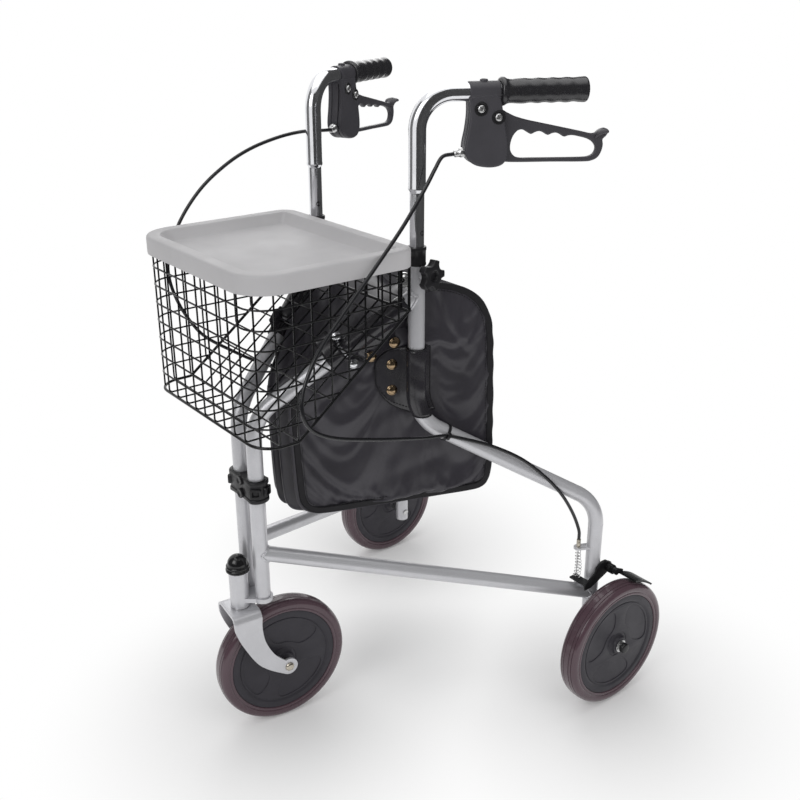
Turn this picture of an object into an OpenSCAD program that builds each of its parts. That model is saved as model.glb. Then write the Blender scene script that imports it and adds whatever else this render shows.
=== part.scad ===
// Three wheel rollator: two tube side frames hinged on a front head, with a swivelling front wheel,
// two rear wheels with hand brakes, height-adjustable handles, a wire basket with a tray, and a bag.
// Millimetres. +Z is up, the front is -Y and the user's left is +X. The origin lies on the floor,
// under the middle of the wheelbase.

/* [Stance] */
// Wheel diameter over the tread
wheel_d = 200; // [190:1:210]
// Distance from the front axle to the rear axles
wheelbase = 420; // [410:1:430]
// Distance between the middle planes of the rear wheels
track = 573; // [568:1:600]
// Distance between the two hinge tube axes
hinge_gap = 40; // [38:1:44]
// How far the hinge axes stand in front of the front axle
hinge_lead = 31; // [28:1:34]
// Angle of each side frame from straight back
splay = 25.75; // [24:0.25:27]

/* [Frame tubes] */
// Outside diameter of the frame tubes
tube_d = 22.2; // [20:0.1:24]
// Wall of the frame tubes
tube_wall = 1.5; // [1.2:0.1:2]
// Centre line radius of the frame bends
bend_r = 65; // [50:1:80]
// Distance along the side frame from hinge axis to rear tube axis
rear_u = 223; // [215:1:235]
// Height where the hinge tube's line meets the upper diagonal
front_apex_z = 500; // [490:1:505]
// Slope of the upper diagonal
diag_angle = 35.2; // [33:0.1:37]
// Height of the rear tube's top end
rear_top_z = 698; // [690:1:705]
// Height where the rear tube's line meets the rear diagonal
rear_apex_z = 480.5; // [470:0.5:484]
// Height where the rear diagonal meets the leg's line
leg_apex_z = 318; // [310:1:330]
// Height of the lower bar at the hinge tube
bar_front_z = 295; // [285:1:305]
// Height of the lower bar at the leg
bar_rear_z = 163; // [155:1:170]
// How far the leg reaches below the axle
leg_tail = 16; // [13:1:20]

/* [Handles] */
// Outside diameter of the upper handle tube
handle_d = 22.2; // [20:0.1:24]
// Wall of the handle tube
handle_wall = 1.5; // [1.2:0.1:2]
// Height of the step between the two handle tube diameters
swage_z = 797; // [790:1:805]
// Height of the handle tube's lower end
slide_bottom_z = 580; // [577:1:600]
// Centre line radius of the handle bend
handle_bend_r = 60; // [50:1:70]
// Height of the grip axis
grip_z = 911; // [905:1:930]
// Length of the grip
grip_len = 114; // [100:1:130]
// Diameter of the grip
grip_d = 28; // [26.5:0.1:31]
// Diameter of the grip's front flange
grip_flange_d = 33; // [32:0.5:38]
// Height of the plastic collar on the rear tube
collar_h = 24; // [18:1:30]
// Diameter of the height adjustment holes
hole_d = 7; // [6.5:0.1:8]
// Distance between the height adjustment holes
hole_pitch = 26.5; // [25:0.5:28]
// Height of the star knob's axis
knob_z = 687; // [682:1:689]
// Diameter of the star knob
knob_d = 42; // [36:1:46]

/* [Brake levers] */
// Thickness of the lever housing across the side frame
housing_t = 26; // [24:1:30]
// Outside diameter of the housing's handle clamp
clamp_tube_d = 25.4; // [25.2:0.1:28]
// Thickness of the lever
lever_t = 8; // [7:0.5:10]
// Distance from the lever pivot to the lever's rear end
lever_len = 140; // [130:1:150]
// Diameter of the lever bolts
lever_bolt_d = 6; // [5:0.1:7]

/* [Wheels] */
// Width of the tyres
tyre_w = 31; // [30:1:34]
// Radial thickness of the tyres
tyre_t = 18; // [15:1:22]
// Length of the wheel hubs
hub_len = 36; // [35:1:40]
// Diameter of the axles
axle_d = 8; // [7:0.1:10]

/* [Brake at the wheel] */
// Free gap between brake blade and tyre
blade_gap = 3.5; // [3.5:0.1:5]
// Width of the brake blade
blade_w = 34; // [28:1:36]
// Thickness of the brake arm's sheet
arm_t = 2.5; // [2:0.1:3]
// Distance from the leg's axis to the pull wire
stop_reach = 25; // [23:0.5:28]
// Length of the return spring
spring_len = 50; // [46:1:54]
// Wire diameter of the return spring
spring_wire_d = 1; // [0.8:0.1:1.2]
// Number of curls of the return spring
spring_curls = 9; // [7:1:11]

/* [Head and caster] */
// How far the front wheel trails the stem axis
trail = 58; // [54:1:62]
// Angle that the caster is turned at rest
caster_turn = 7; // [0:1:10]
// Diameter of the stem tube
stem_d = 27; // [26:0.5:30]
// Length of the stem tube
stem_len = 58; // [52:1:64]
// Sheet thickness of the fork
fork_t = 4; // [3:0.5:5]
// Inside width of the fork
fork_gap = 56; // [52:1:60]
// Height of the hinge clamp's lower face
clamp_z = 379; // [360:1:390]
// Height of the hinge clamp
clamp_h = 33; // [30:1:44]

/* [Basket, tray and bag] */
// Width of the tray
tray_w = 304; // [298:1:308]
// Length of the tray
tray_len = 242; // [236:1:244]
// Height of the tray's rim
tray_top_z = 730; // [726:1:736]
// Depth of the tray's skirt
tray_h = 24; // [20:1:30]
// Radius of the tray's front corners
tray_front_r = 49; // [44:1:52]
// Radius of the tray's rear corners
tray_rear_r = 24; // [18:1:30]
// How far the tray's front edge stands in front of the hinge axes
tray_lead = 66; // [64:0.5:68]
// Thickness of the basket's wires
wire_d = 3; // [2.5:0.1:3.5]
// Rough distance between the basket's wires
mesh_pitch = 25.6; // [22:0.1:30]
// Height of the bag's bottom
bag_bottom_z = 350; // [345:1:365]
// Height of the bag's rear top edge
bag_top_z = 664; // [640:1:668]
// Cloth thickness of the bag
bag_wall = 2.5; // [2:0.1:3]

/* [Cables] */
// Outside diameter of the brake cables
cable_d = 5; // [4.5:0.1:5.2]
// Diameter of the pull wires
pull_wire_d = 1.6; // [1.4:0.1:1.8]

/* [Hidden] */
$fn = 48;
// Clearances and overrun
run_gap = 0.06;
weld_gap = 0.1;
seat_gap = 0.3;
cut = 1;
seam_rise = 0.15;
seam_w = 3;

// Stance
hinge_half = hinge_gap / 2;
axle_z = wheel_d / 2;
rear_y = wheelbase / 2;
hinge_y = -rear_y - hinge_lead;
leg_u = (rear_y - hinge_y) / cos(splay);
leg_x = hinge_half + leg_u * sin(splay);
leg_bottom_z = axle_z - leg_tail;
wheel_x = track / 2;
stem_y = -rear_y - trail;
tube_bore = tube_d - 2 * tube_wall;
slide_gap = 0.08;
slide_d = tube_bore - 2 * slide_gap;
slide_bore_d = slide_d + 2 * run_gap;

// Fork crown and head, stacked up from the tyre
crown_clear = 4.5;
crown_z = wheel_d + crown_clear;
crown_top_z = crown_z + fork_t;
washer_h = 1.5;
stem_z = crown_top_z + washer_h + seat_gap;
stem_wall = 2.5;
plate_rise = 10.5;
plate_t = 6.5;
plate_z = crown_top_z + plate_rise;
front_bottom_z = plate_z + plate_t + seat_gap;
plug_h = 22;
hinge_bolt_d = 8;
bolt_head_h = 5.5;
bolt_head_d = 13;
plate_edge = 14;
kingpin_d = 12;
kingpin_rise = 10;
bearing_h = 8;
cap_flange_d = 34;
cap_skirt = 1;
cap_flange_h = 10;
cap_dome_r = 14.5;
cap_dome_rise = 9.5;
cap_wall = 2.5;
clamp_wall = 4.5;
clamp_split = 0.8;
clamp_waist = 24;
clamp_screw_d = 5;
clamp_screw_step = 10;
screw_head_d = 8.5;
screw_head_h = 3.5;

// Fork outline, in the caster's own frame
crown_front = 22;
crown_back = 20;
fork_round = 12;
fork_end_r = 13;
// Edges of the fork's leg, as shares of the trail and of the drop from crown to axle
fork_front_shares = [[-0.36, 0.14], [-0.19, 0.46], [0.14, 0.77], [0.47, 0.95], [0.8, 1.08]];
fork_back_shares = [[0.9, 0.88], [0.62, 0.73], [0.39, 0.48], [0.32, 0.25]];
axle_head_d = 15;
axle_head_h = 5;
spacer_d = 13;
nut_d = 14;
nut_h = 8;

// Wheel profile
hub_bore_d = axle_d + 2 * run_gap;
bead_r = axle_z - tyre_t;
boss_r = 14;
web_half = 11;
rim_half = 13.6;
rim_h = 9;
tread_steps = [[0.3, 0], [0.62, 0.8], [0.86, 2.2]];
tread_step_h = 0.7;
shoulder_h = 6;
side_half = tyre_w / 2;

// Handles and knobs
swage_h = 6;
grip_wall_gap = run_gap;
grip_flange_w = 8;
grip_neck_w = 12;
grip_neck = 0.8;
grip_round = 4;
grip_end = 4;
knob_angle = 54;
knob_boss_d = 14;
knob_boss_h = 6;
knob_screw_d = 6;
knob_h = 12;
knob_hub_d = 20;
knob_hub_h = 2;
knob_lobes = 5;
knob_scallop_r = 9.5;
knob_scallop_out = 3;
knob_seat = tube_d / 2 + knob_boss_h + seat_gap;
collar_lip = 0.4;
holes = [-1, 0, 1, 2];

// Brake lever housing and lever, along the side frame (u) and up (z)
bend_tail = 4;
housing_u = rear_u + handle_bend_r + bend_tail;
housing_top_len = 39;
grip_set = 0.5;
grip_u = housing_u + housing_top_len + grip_set;
handle_end_u = grip_u + grip_len - grip_end;
housing_low_len = 50;
housing_drop = 66;
housing_round = 25;
housing_low_z = grip_z - housing_drop;
pivot_back = 3;
pivot_u = housing_u + housing_top_len - pivot_back;
pivot_drop = 29.5;
pivot_z = grip_z - pivot_drop;
clamp_bolt_back = 22.5;
clamp_bolt_rise = 10.5;
slot_front = 10;
slot_top = 14;
lever_hub_r = 8;
lever_end_r = 19;
lever_end_drop = 42;
lever_end = [pivot_u + lever_len - lever_end_r, pivot_z - lever_end_drop];
lever_low_z = lever_end[1] - lever_end_r;
lever_foot_back = 18;
lever_foot_r = 7;
lever_foot = [pivot_u - lever_foot_back, lever_end[1]];
lever_heel = 9;
lever_brow = [10, -6.5];
lever_end_brow = 2.5;
hole_front_back = 37;
hole_front_r = 17;
hole_front_rise = 25;
hole_front = [pivot_u + hole_front_back, lever_low_z + hole_front_rise];
hole_end_r = 11;
hole_end_set = 1;
hole_end = lever_end - [hole_end_set, hole_end_set];
hole_brow = 7;
finger_r = 10;
finger_count = 3;
finger_pitch = 22.5;
finger_fall = 3;
tab_r = 5.5;
tab_reach = 4;
tab_rise = 14;
tab_share = 0.8;
dome_d = 10.5;
dome_h = 3;
adjust_z = pivot_z - lever_end_drop;
adjust_tilt = 9;
adjust_d = 8;
adjust_len = 17;
adjust_nut_d = 11;
adjust_nut_h = 6;
adjust_root = 10;
adjust_bore = 6;
adjust_face_d = 13;
housing_screw_d = 9;
housing_screw_h = 3;

// Brake at the wheel
brake_pivot_back = 19;
brake_pivot_rise = 7;
brake_pivot = [rear_y + brake_pivot_back, wheel_d + brake_pivot_rise];
brake_pin_d = 6;
brake_eye_d = 11;
bracket_t = 5;
bracket_r = 8;
lug_drop = 15;
lug_z = brake_pivot[1] - lug_drop;
lug_half = 7;
lug_hole_d = 3;
arm_side_gap = 0.9;
arm_x = leg_x + tube_d / 2 + arm_side_gap;
arm_w = 19;
arm_web_h = 9;
blade_t = 3;
blade_from = 15;
blade_to = 39;
wire_u = leg_u - stop_reach;
wire_x = hinge_half + wire_u * sin(splay);
wire_y = hinge_y + wire_u * cos(splay);
stop_z = lug_z + spring_len + 2 * seat_gap;
stop_t = 3;
stop_half = 7;
ferrule_d = 6;
ferrule_len = 18;
ferrule_below = 2;
ferrule_wall = 0.45;
nipple_d = 6;
nipple_h = 5;
spring_top_r = 3.6;
spring_low_r = 5.4;
spring_rings = 8;
tube_sides = 6;

// Basket stud
stud_u = 206;
stud_z = 678;
stud_tab_t = 3;
stud_tab_h = 16;
stud_d = 20;
stud_h = 5;
stud_round = 4;

// Tray
tray_wall = 3;
tray_rim = 24;
tray_floor_drop = 12;
tray_front_y = hinge_y - tray_lead;
tray_rear_y = tray_front_y + tray_len;
tray_floor_z = tray_top_z - tray_floor_drop;

// Basket: floor and slope lie just over the diagonals
basket_clear = 4;
panel_gap = 0.05;
basket_front_r = tray_front_r - tray_wall - basket_clear;
basket_rear_r = tray_rear_r - tray_wall - basket_clear;
basket_half = tray_w / 2 - tray_wall - basket_clear;
basket_front_y = tray_front_y + tray_wall + basket_clear;
basket_rear_y = tray_rear_y - tray_wall - basket_clear;
basket_top_z = tray_floor_z - tray_wall - seat_gap;
basket_slope = atan(tan(diag_angle) / cos(splay));
slope_lift = (tube_d / 2 + seat_gap) / cos(basket_slope);
function slope_z(y) = front_apex_z + slope_lift + (y - hinge_y) * tan(basket_slope);
floor_lead = 4.5;
floor_break_y = hinge_y - floor_lead;
basket_floor_z = slope_z(floor_break_y);
basket_tall = basket_top_z - basket_floor_z;
slope_end_z = slope_z(basket_rear_y);
slope_len = (basket_rear_y - floor_break_y) / cos(basket_slope);
// Vertical room that the slope panel's thickness takes, and where its top meets the floor's top
slope_step = wire_d / cos(basket_slope);
top_break_y = floor_break_y - (slope_step - wire_d) / tan(basket_slope);

// Bag, a wedge between the side frames, inside their tubes
bag_inset = 14;
bag_front_u = 56;
bag_rear_u = 330;
bag_slope_gap = 16;
bag_corner = 30;
function side_x(u, v) = hinge_half + u * sin(splay) - v * cos(splay);
function side_y(u, v) = hinge_y + u * cos(splay) + v * sin(splay);
function side_point(u, v, z) = [side_x(u, v), side_y(u, v), z];
bag_front_y = side_y(bag_front_u, bag_inset);
bag_rear_y = side_y(bag_rear_u, bag_inset);
bag_front_half = side_x(bag_front_u, bag_inset);
bag_rear_half = side_x(bag_rear_u, bag_inset);

// Route of the left brake cable between adjuster and ferrule
adjust_tip = [housing_u - adjust_len * cos(adjust_tilt), adjust_z - adjust_len * sin(adjust_tilt)];
cable_seat = 0.9;
cable_start = side_point(adjust_tip[0] - cable_seat, 0, adjust_tip[1]);
cable_end = side_point(wire_u, 0, stop_z + ferrule_len - ferrule_below + cable_seat);
// Free sweeps in front of the rear tubes, and the run along the rear diagonal; the right one is mirrored
left_sweep = [
    [132, -12, 834], [137, -28, 821], [144, -46, 805], [150, -70, 782], [154, -96, 756],
    [160, -143, 714], [167, -189, 675], [173, -222, 647], [178, -245, 622], [181, -259, 597],
    [183, -264, 574], [184, -259, 554], [183, -243, 537], [180, -210, 520], [172, -150, 499],
    [160, -95, 480], [149, -47, 464]
];
right_sweep = [
    [134, -16, 838], [141, -45, 838], [151, -78, 832], [165, -116, 818], [178, -150, 797],
    [190, -186, 765], [197, -218, 722], [200, -238, 674], [199, -240, 641], [196, -231, 606],
    [190, -217, 576], [182, -199, 551], [172, -165, 526], [161, -128, 503], [152, -80, 482],
    [147, -42, 466]
];
diagonal_run = [
    [147, -13, 457], [156, 7, 451], [175, 47, 435], [195, 87, 411], [210, 119, 381],
    [221, 146, 348], [225, 170, 310], [227, 185, 276]
];
cable_steps = 2;
cable_sides = 8;
tie_u = 264;
tie_w = 4;
tie_t = 1.2;
tie_lane = 14.3;
tie_slack = 1.7;

paint = "#b3b3b8";
chrome = "#d6d8dc";
zinc = "#c4c6c8";
black = "#232326";
charcoal = "#3b3b40";
rubber = "#5a474d";
tray_grey = "#c2c1c0";

// Side frames: local X runs back along the frame, local Y points inward, Z is up
module flip(s) {
    mirror([s < 0 ? 1 : 0, 0, 0]) children();
}
module on_side(s) {
    flip(s) translate([hinge_half, hinge_y, 0]) rotate([0, 0, 90 - splay]) children();
}
// A flat outline drawn as (along, up), with its thickness centred on the side frame's plane
module side_plate(t) {
    rotate([90, 0, 0]) translate([0, 0, -t / 2]) linear_extrude(t) children();
}
// A flat outline drawn as (y, z), with its thickness running out from x
module cross_plate(x, t) {
    translate([x, 0, 0]) rotate([90, 0, 90]) linear_extrude(t) children();
}
// The caster: local X is its axle, local Y trails
module on_caster() {
    translate([0, stem_y, 0]) rotate([0, 0, -caster_turn]) children();
}
// The left or right rear axle: local Z points outward from the leg
module on_axle(s) {
    flip(s) translate([leg_x, rear_y, axle_z]) rotate([0, 90, 0]) children();
}
// The star knob's axis: local Z points away from the rear tube
module on_knob(s) {
    on_side(s) translate([rear_u, 0, knob_z]) rotate([0, 0, -knob_angle]) rotate([0, 90, 0]) children();
}

// Bent tubes in the side frame's plane: corner points are (along, up)
function heading(a, b) = atan2(b[1] - a[1], b[0] - a[0]);
function wrap(h) = h > 180 ? h - 360 : h < -180 ? h + 360 : h;
function turn(p, i) = wrap(heading(p[i], p[i + 1]) - heading(p[i - 1], p[i]));
function setback(p, i, r) = i == 0 || i == len(p) - 1 ? 0 : r * tan(abs(turn(p, i)) / 2);
function step(h, l) = [l * cos(h), l * sin(h)];

module ring(d, bore) {
    difference() {
        circle(d = d);
        circle(d = bore);
    }
}
module straight(p, h, l, d, bore) {
    translate([p[0], 0, p[1]]) rotate([0, 90 - h, 0]) linear_extrude(l) ring(d, bore);
}
module bend(p, i, r, d, bore) {
    h = heading(p[i - 1], p[i]);
    t = turn(p, i);
    centre = p[i] - step(h, setback(p, i, r)) + sign(t) * step(h + 90, r);
    translate([centre[0], 0, centre[1]]) rotate([90, 0, 0]) rotate([0, 0, h - 90 * sign(t) + min(t, 0)])
        rotate_extrude(angle = abs(t)) translate([r, 0]) ring(d, bore);
}
// A narrow seam ties a bend to its straight neighbours
module seam(p, i, r, k, d, bore) {
    h = k < 0 ? heading(p[i - 1], p[i]) : heading(p[i], p[i + 1]);
    at = k * setback(p, i, r) - seam_w / 2;
    straight(p[i] + step(h, at), h, seam_w, d + 2 * seam_rise, bore - 2 * seam_rise);
}
module bent_tube(p, r, d, bore) {
    for (i = [0 : len(p) - 2]) {
        h = heading(p[i], p[i + 1]);
        from = setback(p, i, r);
        straight(p[i] + step(h, from), h, norm(p[i + 1] - p[i]) - from - setback(p, i + 1, r), d, bore);
    }
    for (i = [1 : len(p) - 2]) {
        bend(p, i, r, d, bore);
        for (k = [-1, 1]) seam(p, i, r, k, d, bore);
    }
}

// Smooth tube along points: a sweep with a fixed side direction
function unit(v) = v / norm(v);
function tangent(p, i) = unit(p[min(i + 1, len(p) - 1)] - p[max(i - 1, 0)]);
function ring_points(p, i, r, sides, side) = let (
    t = tangent(p, i), a = unit(cross(t, side)), b = cross(t, a)
) [for (k = [0 : sides - 1]) p[i] + r * (a * cos(360 * k / sides) + b * sin(360 * k / sides))];
module swept_tube(p, r, sides, side) {
    rows = len(p);
    last = rows * sides;
    points = concat([for (i = [0 : rows - 1]) each ring_points(p, i, r, sides, side)], [p[0], p[rows - 1]]);
    faces = concat(
        [for (i = [0 : rows - 2], k = [0 : sides - 1]) let (n = (k + 1) % sides)
            [i * sides + k, (i + 1) * sides + k, (i + 1) * sides + n]],
        [for (i = [0 : rows - 2], k = [0 : sides - 1]) let (n = (k + 1) % sides)
            [i * sides + k, (i + 1) * sides + n, i * sides + n]],
        [for (k = [0 : sides - 1]) [last, k, (k + 1) % sides]],
        [for (k = [0 : sides - 1]) [last + 1, last - sides + (k + 1) % sides, last - sides + k]]
    );
    polyhedron(points, faces);
}
function spline_point(a, b, c, d, t) = (
    2 * b + (c - a) * t + (2 * a - 5 * b + 4 * c - d) * t * t + (3 * b - a - 3 * c + d) * t * t * t
) / 2;
function spline(p, steps) = let (last = len(p) - 1) concat([for (i = [0 : last - 1], k = [0 : steps - 1])
    spline_point(p[max(i - 1, 0)], p[i], p[i + 1], p[min(i + 2, last)], k / steps)], [p[last]]);
function cable_line(s) =
    spline(concat([cable_start], s > 0 ? left_sweep : right_sweep, diagonal_run, [cable_end]), cable_steps);

// Return spring: a cone of curls between the arm's lug and the cable stop
spring_height = spring_len - spring_wire_d;
spring_count = spring_curls * spring_rings;
spring_line = [for (i = [0 : spring_count]) let (
    part = i / spring_count,
    r = spring_low_r + (spring_top_r - spring_low_r) * part,
    a = 360 * i / spring_rings
) [r * cos(a), r * sin(a), spring_height * part]];
spring_gap = min([for (i = [0 : spring_count], j = [i + spring_rings / 2 : 1 : spring_count])
    norm(spring_line[i] - spring_line[j])]) - spring_wire_d;
echo(return_spring_least_gap = spring_gap);

// Side frame tubes
front_line = [[0, front_bottom_z], [0, front_apex_z], [rear_u, front_apex_z + rear_u * tan(diag_angle)]];
rear_line = [[rear_u, rear_top_z], [rear_u, rear_apex_z], [leg_u, leg_apex_z], [leg_u, leg_bottom_z]];
bar_angle = heading([0, bar_front_z], [leg_u, bar_rear_z]);

module post_cut(u) {
    translate([u, 0, 0]) cylinder(d = tube_d + 2 * weld_gap, h = rear_top_z);
}
module front_tube(s) {
    color(paint) on_side(s) difference() {
        union() {
            bent_tube(front_line, bend_r, tube_d, tube_bore);
            translate([0, 0, front_bottom_z]) cylinder(d = tube_d - tube_wall, h = plug_h);
        }
        post_cut(rear_u);
        translate([0, 0, front_bottom_z - cut])
            cylinder(d = hinge_bolt_d + 2 * run_gap, h = plug_h + 2 * cut);
    }
}
module rear_tube(s) {
    color(paint) difference() {
        union() {
            on_side(s) bent_tube(rear_line, bend_r, tube_d, tube_bore);
            on_knob(s) cylinder(d = knob_boss_d, h = tube_d / 2 + knob_boss_h);
        }
        on_side(s) translate([rear_u, 0, slide_bottom_z])
            cylinder(d = tube_bore, h = rear_top_z - slide_bottom_z);
        on_knob(s) cylinder(d = knob_screw_d + 2 * run_gap, h = tube_d);
        on_axle(s) cylinder(d = axle_d + 2 * run_gap, h = 2 * tube_d, center = true);
    }
}
module lower_bar(s) {
    color(paint) on_side(s) difference() {
        straight([0, bar_front_z], bar_angle, leg_u / cos(bar_angle), tube_d, tube_bore);
        post_cut(0);
        post_cut(leg_u);
    }
}
module height_collar(s) {
    color(black) on_side(s) translate([rear_u, 0, rear_top_z])
        linear_extrude(collar_h) ring(tube_d + 2 * collar_lip, slide_bore_d);
}

// Handle tube, grip and star knob
module handle_tube(s) {
    bore = handle_d - 2 * handle_wall;
    slide_bore = slide_d - 2 * handle_wall;
    color(chrome) on_side(s) difference() {
        union() {
            path = [[rear_u, swage_z], [rear_u, grip_z], [handle_end_u, grip_z]];
            bent_tube(path, handle_bend_r, handle_d, bore);
            translate([rear_u, 0, 0]) rotate_extrude() polygon([
                [slide_bore / 2, slide_bottom_z], [slide_d / 2, slide_bottom_z],
                [slide_d / 2, swage_z - swage_h], [handle_d / 2, swage_z],
                [bore / 2, swage_z], [slide_bore / 2, swage_z - swage_h]
            ]);
        }
        for (k = holes) translate([rear_u, 0, knob_z + k * hole_pitch]) rotate([0, 0, -knob_angle])
            rotate([0, 90, 0]) cylinder(d = hole_d, h = tube_d, center = true);
    }
}
module grip(s) {
    r = grip_d / 2;
    flange_r = grip_flange_d / 2;
    bore_r = handle_d / 2 + grip_wall_gap;
    color(black) on_side(s) translate([grip_u, 0, grip_z]) rotate([0, 90, 0]) rotate_extrude() polygon([
        [bore_r, 0], [flange_r - grip_round / 2, 0], [flange_r, grip_round / 2],
        [flange_r, grip_flange_w - grip_round], [r - grip_neck, grip_flange_w + grip_neck_w / 2],
        [r, grip_flange_w + 2 * grip_neck_w], [r, grip_len - grip_round], [r - grip_round, grip_len],
        [0, grip_len], [0, grip_len - grip_end + seat_gap], [bore_r, grip_len - grip_end + seat_gap]
    ]);
}
module star_outline() {
    difference() {
        circle(d = knob_d);
        for (k = [0 : knob_lobes - 1]) rotate(360 * (k + 0.5) / knob_lobes)
            translate([knob_d / 2 + knob_scallop_out, 0]) circle(r = knob_scallop_r);
    }
}
module star_knob(s) {
    tip = tube_d / 2 - tube_wall + seat_gap;
    color(black) on_knob(s) {
        translate([0, 0, tip]) cylinder(d = knob_screw_d, h = knob_seat - tip);
        translate([0, 0, knob_seat]) cylinder(d = knob_hub_d, h = knob_hub_h);
        translate([0, 0, knob_seat + knob_hub_h]) linear_extrude(knob_h) star_outline();
    }
}

// Brake lever, its housing and fittings
module housing_outline() {
    polygon([
        [housing_u, grip_z], [housing_u + housing_top_len, grip_z],
        [housing_u + housing_top_len, pivot_z + lever_hub_r], [housing_u + housing_low_len, housing_low_z],
        [housing_u, housing_low_z]
    ]);
    translate([housing_u + housing_round, housing_low_z]) circle(r = housing_round);
}
module lever_bolt_places() {
    translate([pivot_u, 0, pivot_z]) children();
    translate([pivot_u - clamp_bolt_back, 0, pivot_z + clamp_bolt_rise]) children();
}
module on_adjuster() {
    translate([housing_u, 0, adjust_z]) rotate([0, -90 - adjust_tilt, 0]) children();
}
module brake_housing(s) {
    slot_u = housing_u + slot_front;
    color(charcoal) on_side(s) difference() {
        union() {
            side_plate(housing_t) housing_outline();
            translate([housing_u, 0, grip_z]) rotate([0, 90, 0])
                cylinder(d = clamp_tube_d, h = housing_top_len);
            translate([housing_u + housing_top_len / 2, 0, grip_z])
                cylinder(d = housing_screw_d, h = clamp_tube_d / 2 + housing_screw_h);
        }
        translate([housing_u - cut, 0, grip_z]) rotate([0, 90, 0])
            cylinder(d = handle_d + 2 * run_gap, h = housing_top_len + 2 * cut);
        side_plate(lever_t + 2 * seat_gap) translate([slot_u, housing_low_z - housing_round - cut])
            square([housing_low_len, pivot_z + slot_top - housing_low_z + housing_round + cut]);
        lever_bolt_places() rotate([90, 0, 0])
            cylinder(d = lever_bolt_d + 2 * run_gap, h = 2 * housing_t, center = true);
        on_adjuster() translate([0, 0, -slot_front - cut])
            cylinder(d = adjust_bore + 2 * run_gap, h = slot_front + 2 * cut + adjust_nut_h);
        on_adjuster() cylinder(d = adjust_face_d, h = adjust_len);
    }
}
module lever_disc(p, r) {
    side_plate(lever_t) translate(p) circle(r = r);
}
module lever_hole() {
    brow_front = hole_front + [0, hole_front_r - hole_brow];
    translate(hole_front) circle(r = hole_front_r);
    translate(hole_end) circle(r = hole_end_r);
    polygon([
        hole_front - [0, hole_front_r], hole_end - [0, hole_end_r], hole_end + [0, hole_end_r], brow_front
    ]);
    first = hole_front + [2 * finger_r, hole_front_r - finger_r - finger_fall];
    for (k = [0 : finger_count - 1]) translate(first + k * [finger_pitch, -finger_fall]) circle(r = finger_r);
}
module brake_lever(s) {
    tab = lever_end + [lever_end_r + tab_reach, tab_rise];
    color(charcoal) on_side(s) difference() {
        union() {
            lever_disc([pivot_u, pivot_z], lever_hub_r);
            lever_disc(lever_foot, lever_foot_r);
            lever_disc(lever_end, lever_end_r);
            lever_disc(tab, tab_r);
            side_plate(lever_t) polygon([
                lever_foot - [lever_foot_r, 0], [pivot_u - lever_hub_r, pivot_z],
                [pivot_u, pivot_z + lever_hub_r], [pivot_u, pivot_z] + lever_brow,
                lever_end + [0, lever_end_r - lever_end_brow], lever_end - [0, lever_end_r],
                [pivot_u - lever_heel, lever_low_z], lever_foot - [0, lever_foot_r]
            ]);
            side_plate(lever_t) polygon([
                lever_end + [0, lever_end_r - lever_end_brow],
                tab + [-tab_r / 2, tab_r * tab_share], tab + [tab_r * tab_share, -tab_r / 2],
                lever_end + [lever_end_r - tab_r, 0]
            ]);
        }
        side_plate(lever_t + 2 * cut) lever_hole();
        side_plate(lever_t + 2 * cut) translate([pivot_u, pivot_z]) circle(d = lever_bolt_d + 2 * run_gap);
    }
}
module lever_bolts(s) {
    color(zinc) on_side(s) lever_bolt_places() {
        rotate([90, 0, 0]) cylinder(d = lever_bolt_d, h = housing_t, center = true);
        for (f = [-1, 1]) translate([0, f * (housing_t + dome_h) / 2, 0]) rotate([90, 0, 0])
            cylinder(d = dome_d, h = dome_h, center = true);
    }
}
module cable_adjuster(s) {
    color(zinc) on_side(s) on_adjuster() {
        translate([0, 0, -adjust_root]) cylinder(d = adjust_bore, h = adjust_root);
        cylinder(d = adjust_nut_d, h = adjust_nut_h, $fn = 6);
        cylinder(d = adjust_d, h = adjust_len);
    }
}

// Brake cable and its end at the wheel
module brake_cable(s) {
    color(black) flip(s) swept_tube(cable_line(s), cable_d / 2, cable_sides, [1, 0, 0]);
}
module cable_tie(s) {
    e = heading(rear_line[1], rear_line[2]);
    tie_z = rear_apex_z + (tie_u - rear_u) * tan(e);
    color(black) on_side(s) translate([tie_u, 0, tie_z]) rotate([0, 90 - e, 0])
        linear_extrude(tie_w) difference() {
            union() {
                circle(d = tube_d + 2 * (weld_gap + tie_t));
                translate([0, -tie_lane]) circle(d = cable_d + 2 * (tie_slack + tie_t));
            }
            circle(d = tube_d + 2 * weld_gap);
            translate([0, -tie_lane]) circle(d = cable_d + 2 * tie_slack);
        }
}
module cable_stop(s) {
    color(zinc) on_side(s) translate([0, 0, stop_z]) difference() {
        linear_extrude(stop_t) difference() {
            union() {
                translate([wire_u, 0]) circle(r = stop_half);
                translate([wire_u, -stop_half]) square([stop_reach, 2 * stop_half]);
            }
            translate([leg_u, 0]) circle(d = tube_d + 2 * weld_gap);
            translate([wire_u, 0]) circle(d = ferrule_d + 2 * run_gap);
        }
    }
}
module cable_ferrule(s) {
    color("#b9a57c") on_side(s) translate([wire_u, 0, stop_z - ferrule_below + seat_gap])
        linear_extrude(ferrule_len - seat_gap) ring(ferrule_d, pull_wire_d + 2 * ferrule_wall);
}
module pull_wire(s) {
    color(zinc) on_side(s) translate([wire_u, 0, 0]) {
        translate([0, 0, lug_z - arm_t]) cylinder(d = pull_wire_d, h = stop_z + ferrule_len - lug_z);
        translate([0, 0, lug_z - arm_t - seat_gap - nipple_h])
            cylinder(d = nipple_d, h = nipple_h + seat_gap);
    }
}
module return_spring(s) {
    color(zinc) on_side(s) translate([wire_u, 0, lug_z + seat_gap + spring_wire_d / 2])
        swept_tube(spring_line, spring_wire_d / 2, tube_sides, [0, 0, 1]);
}
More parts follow.
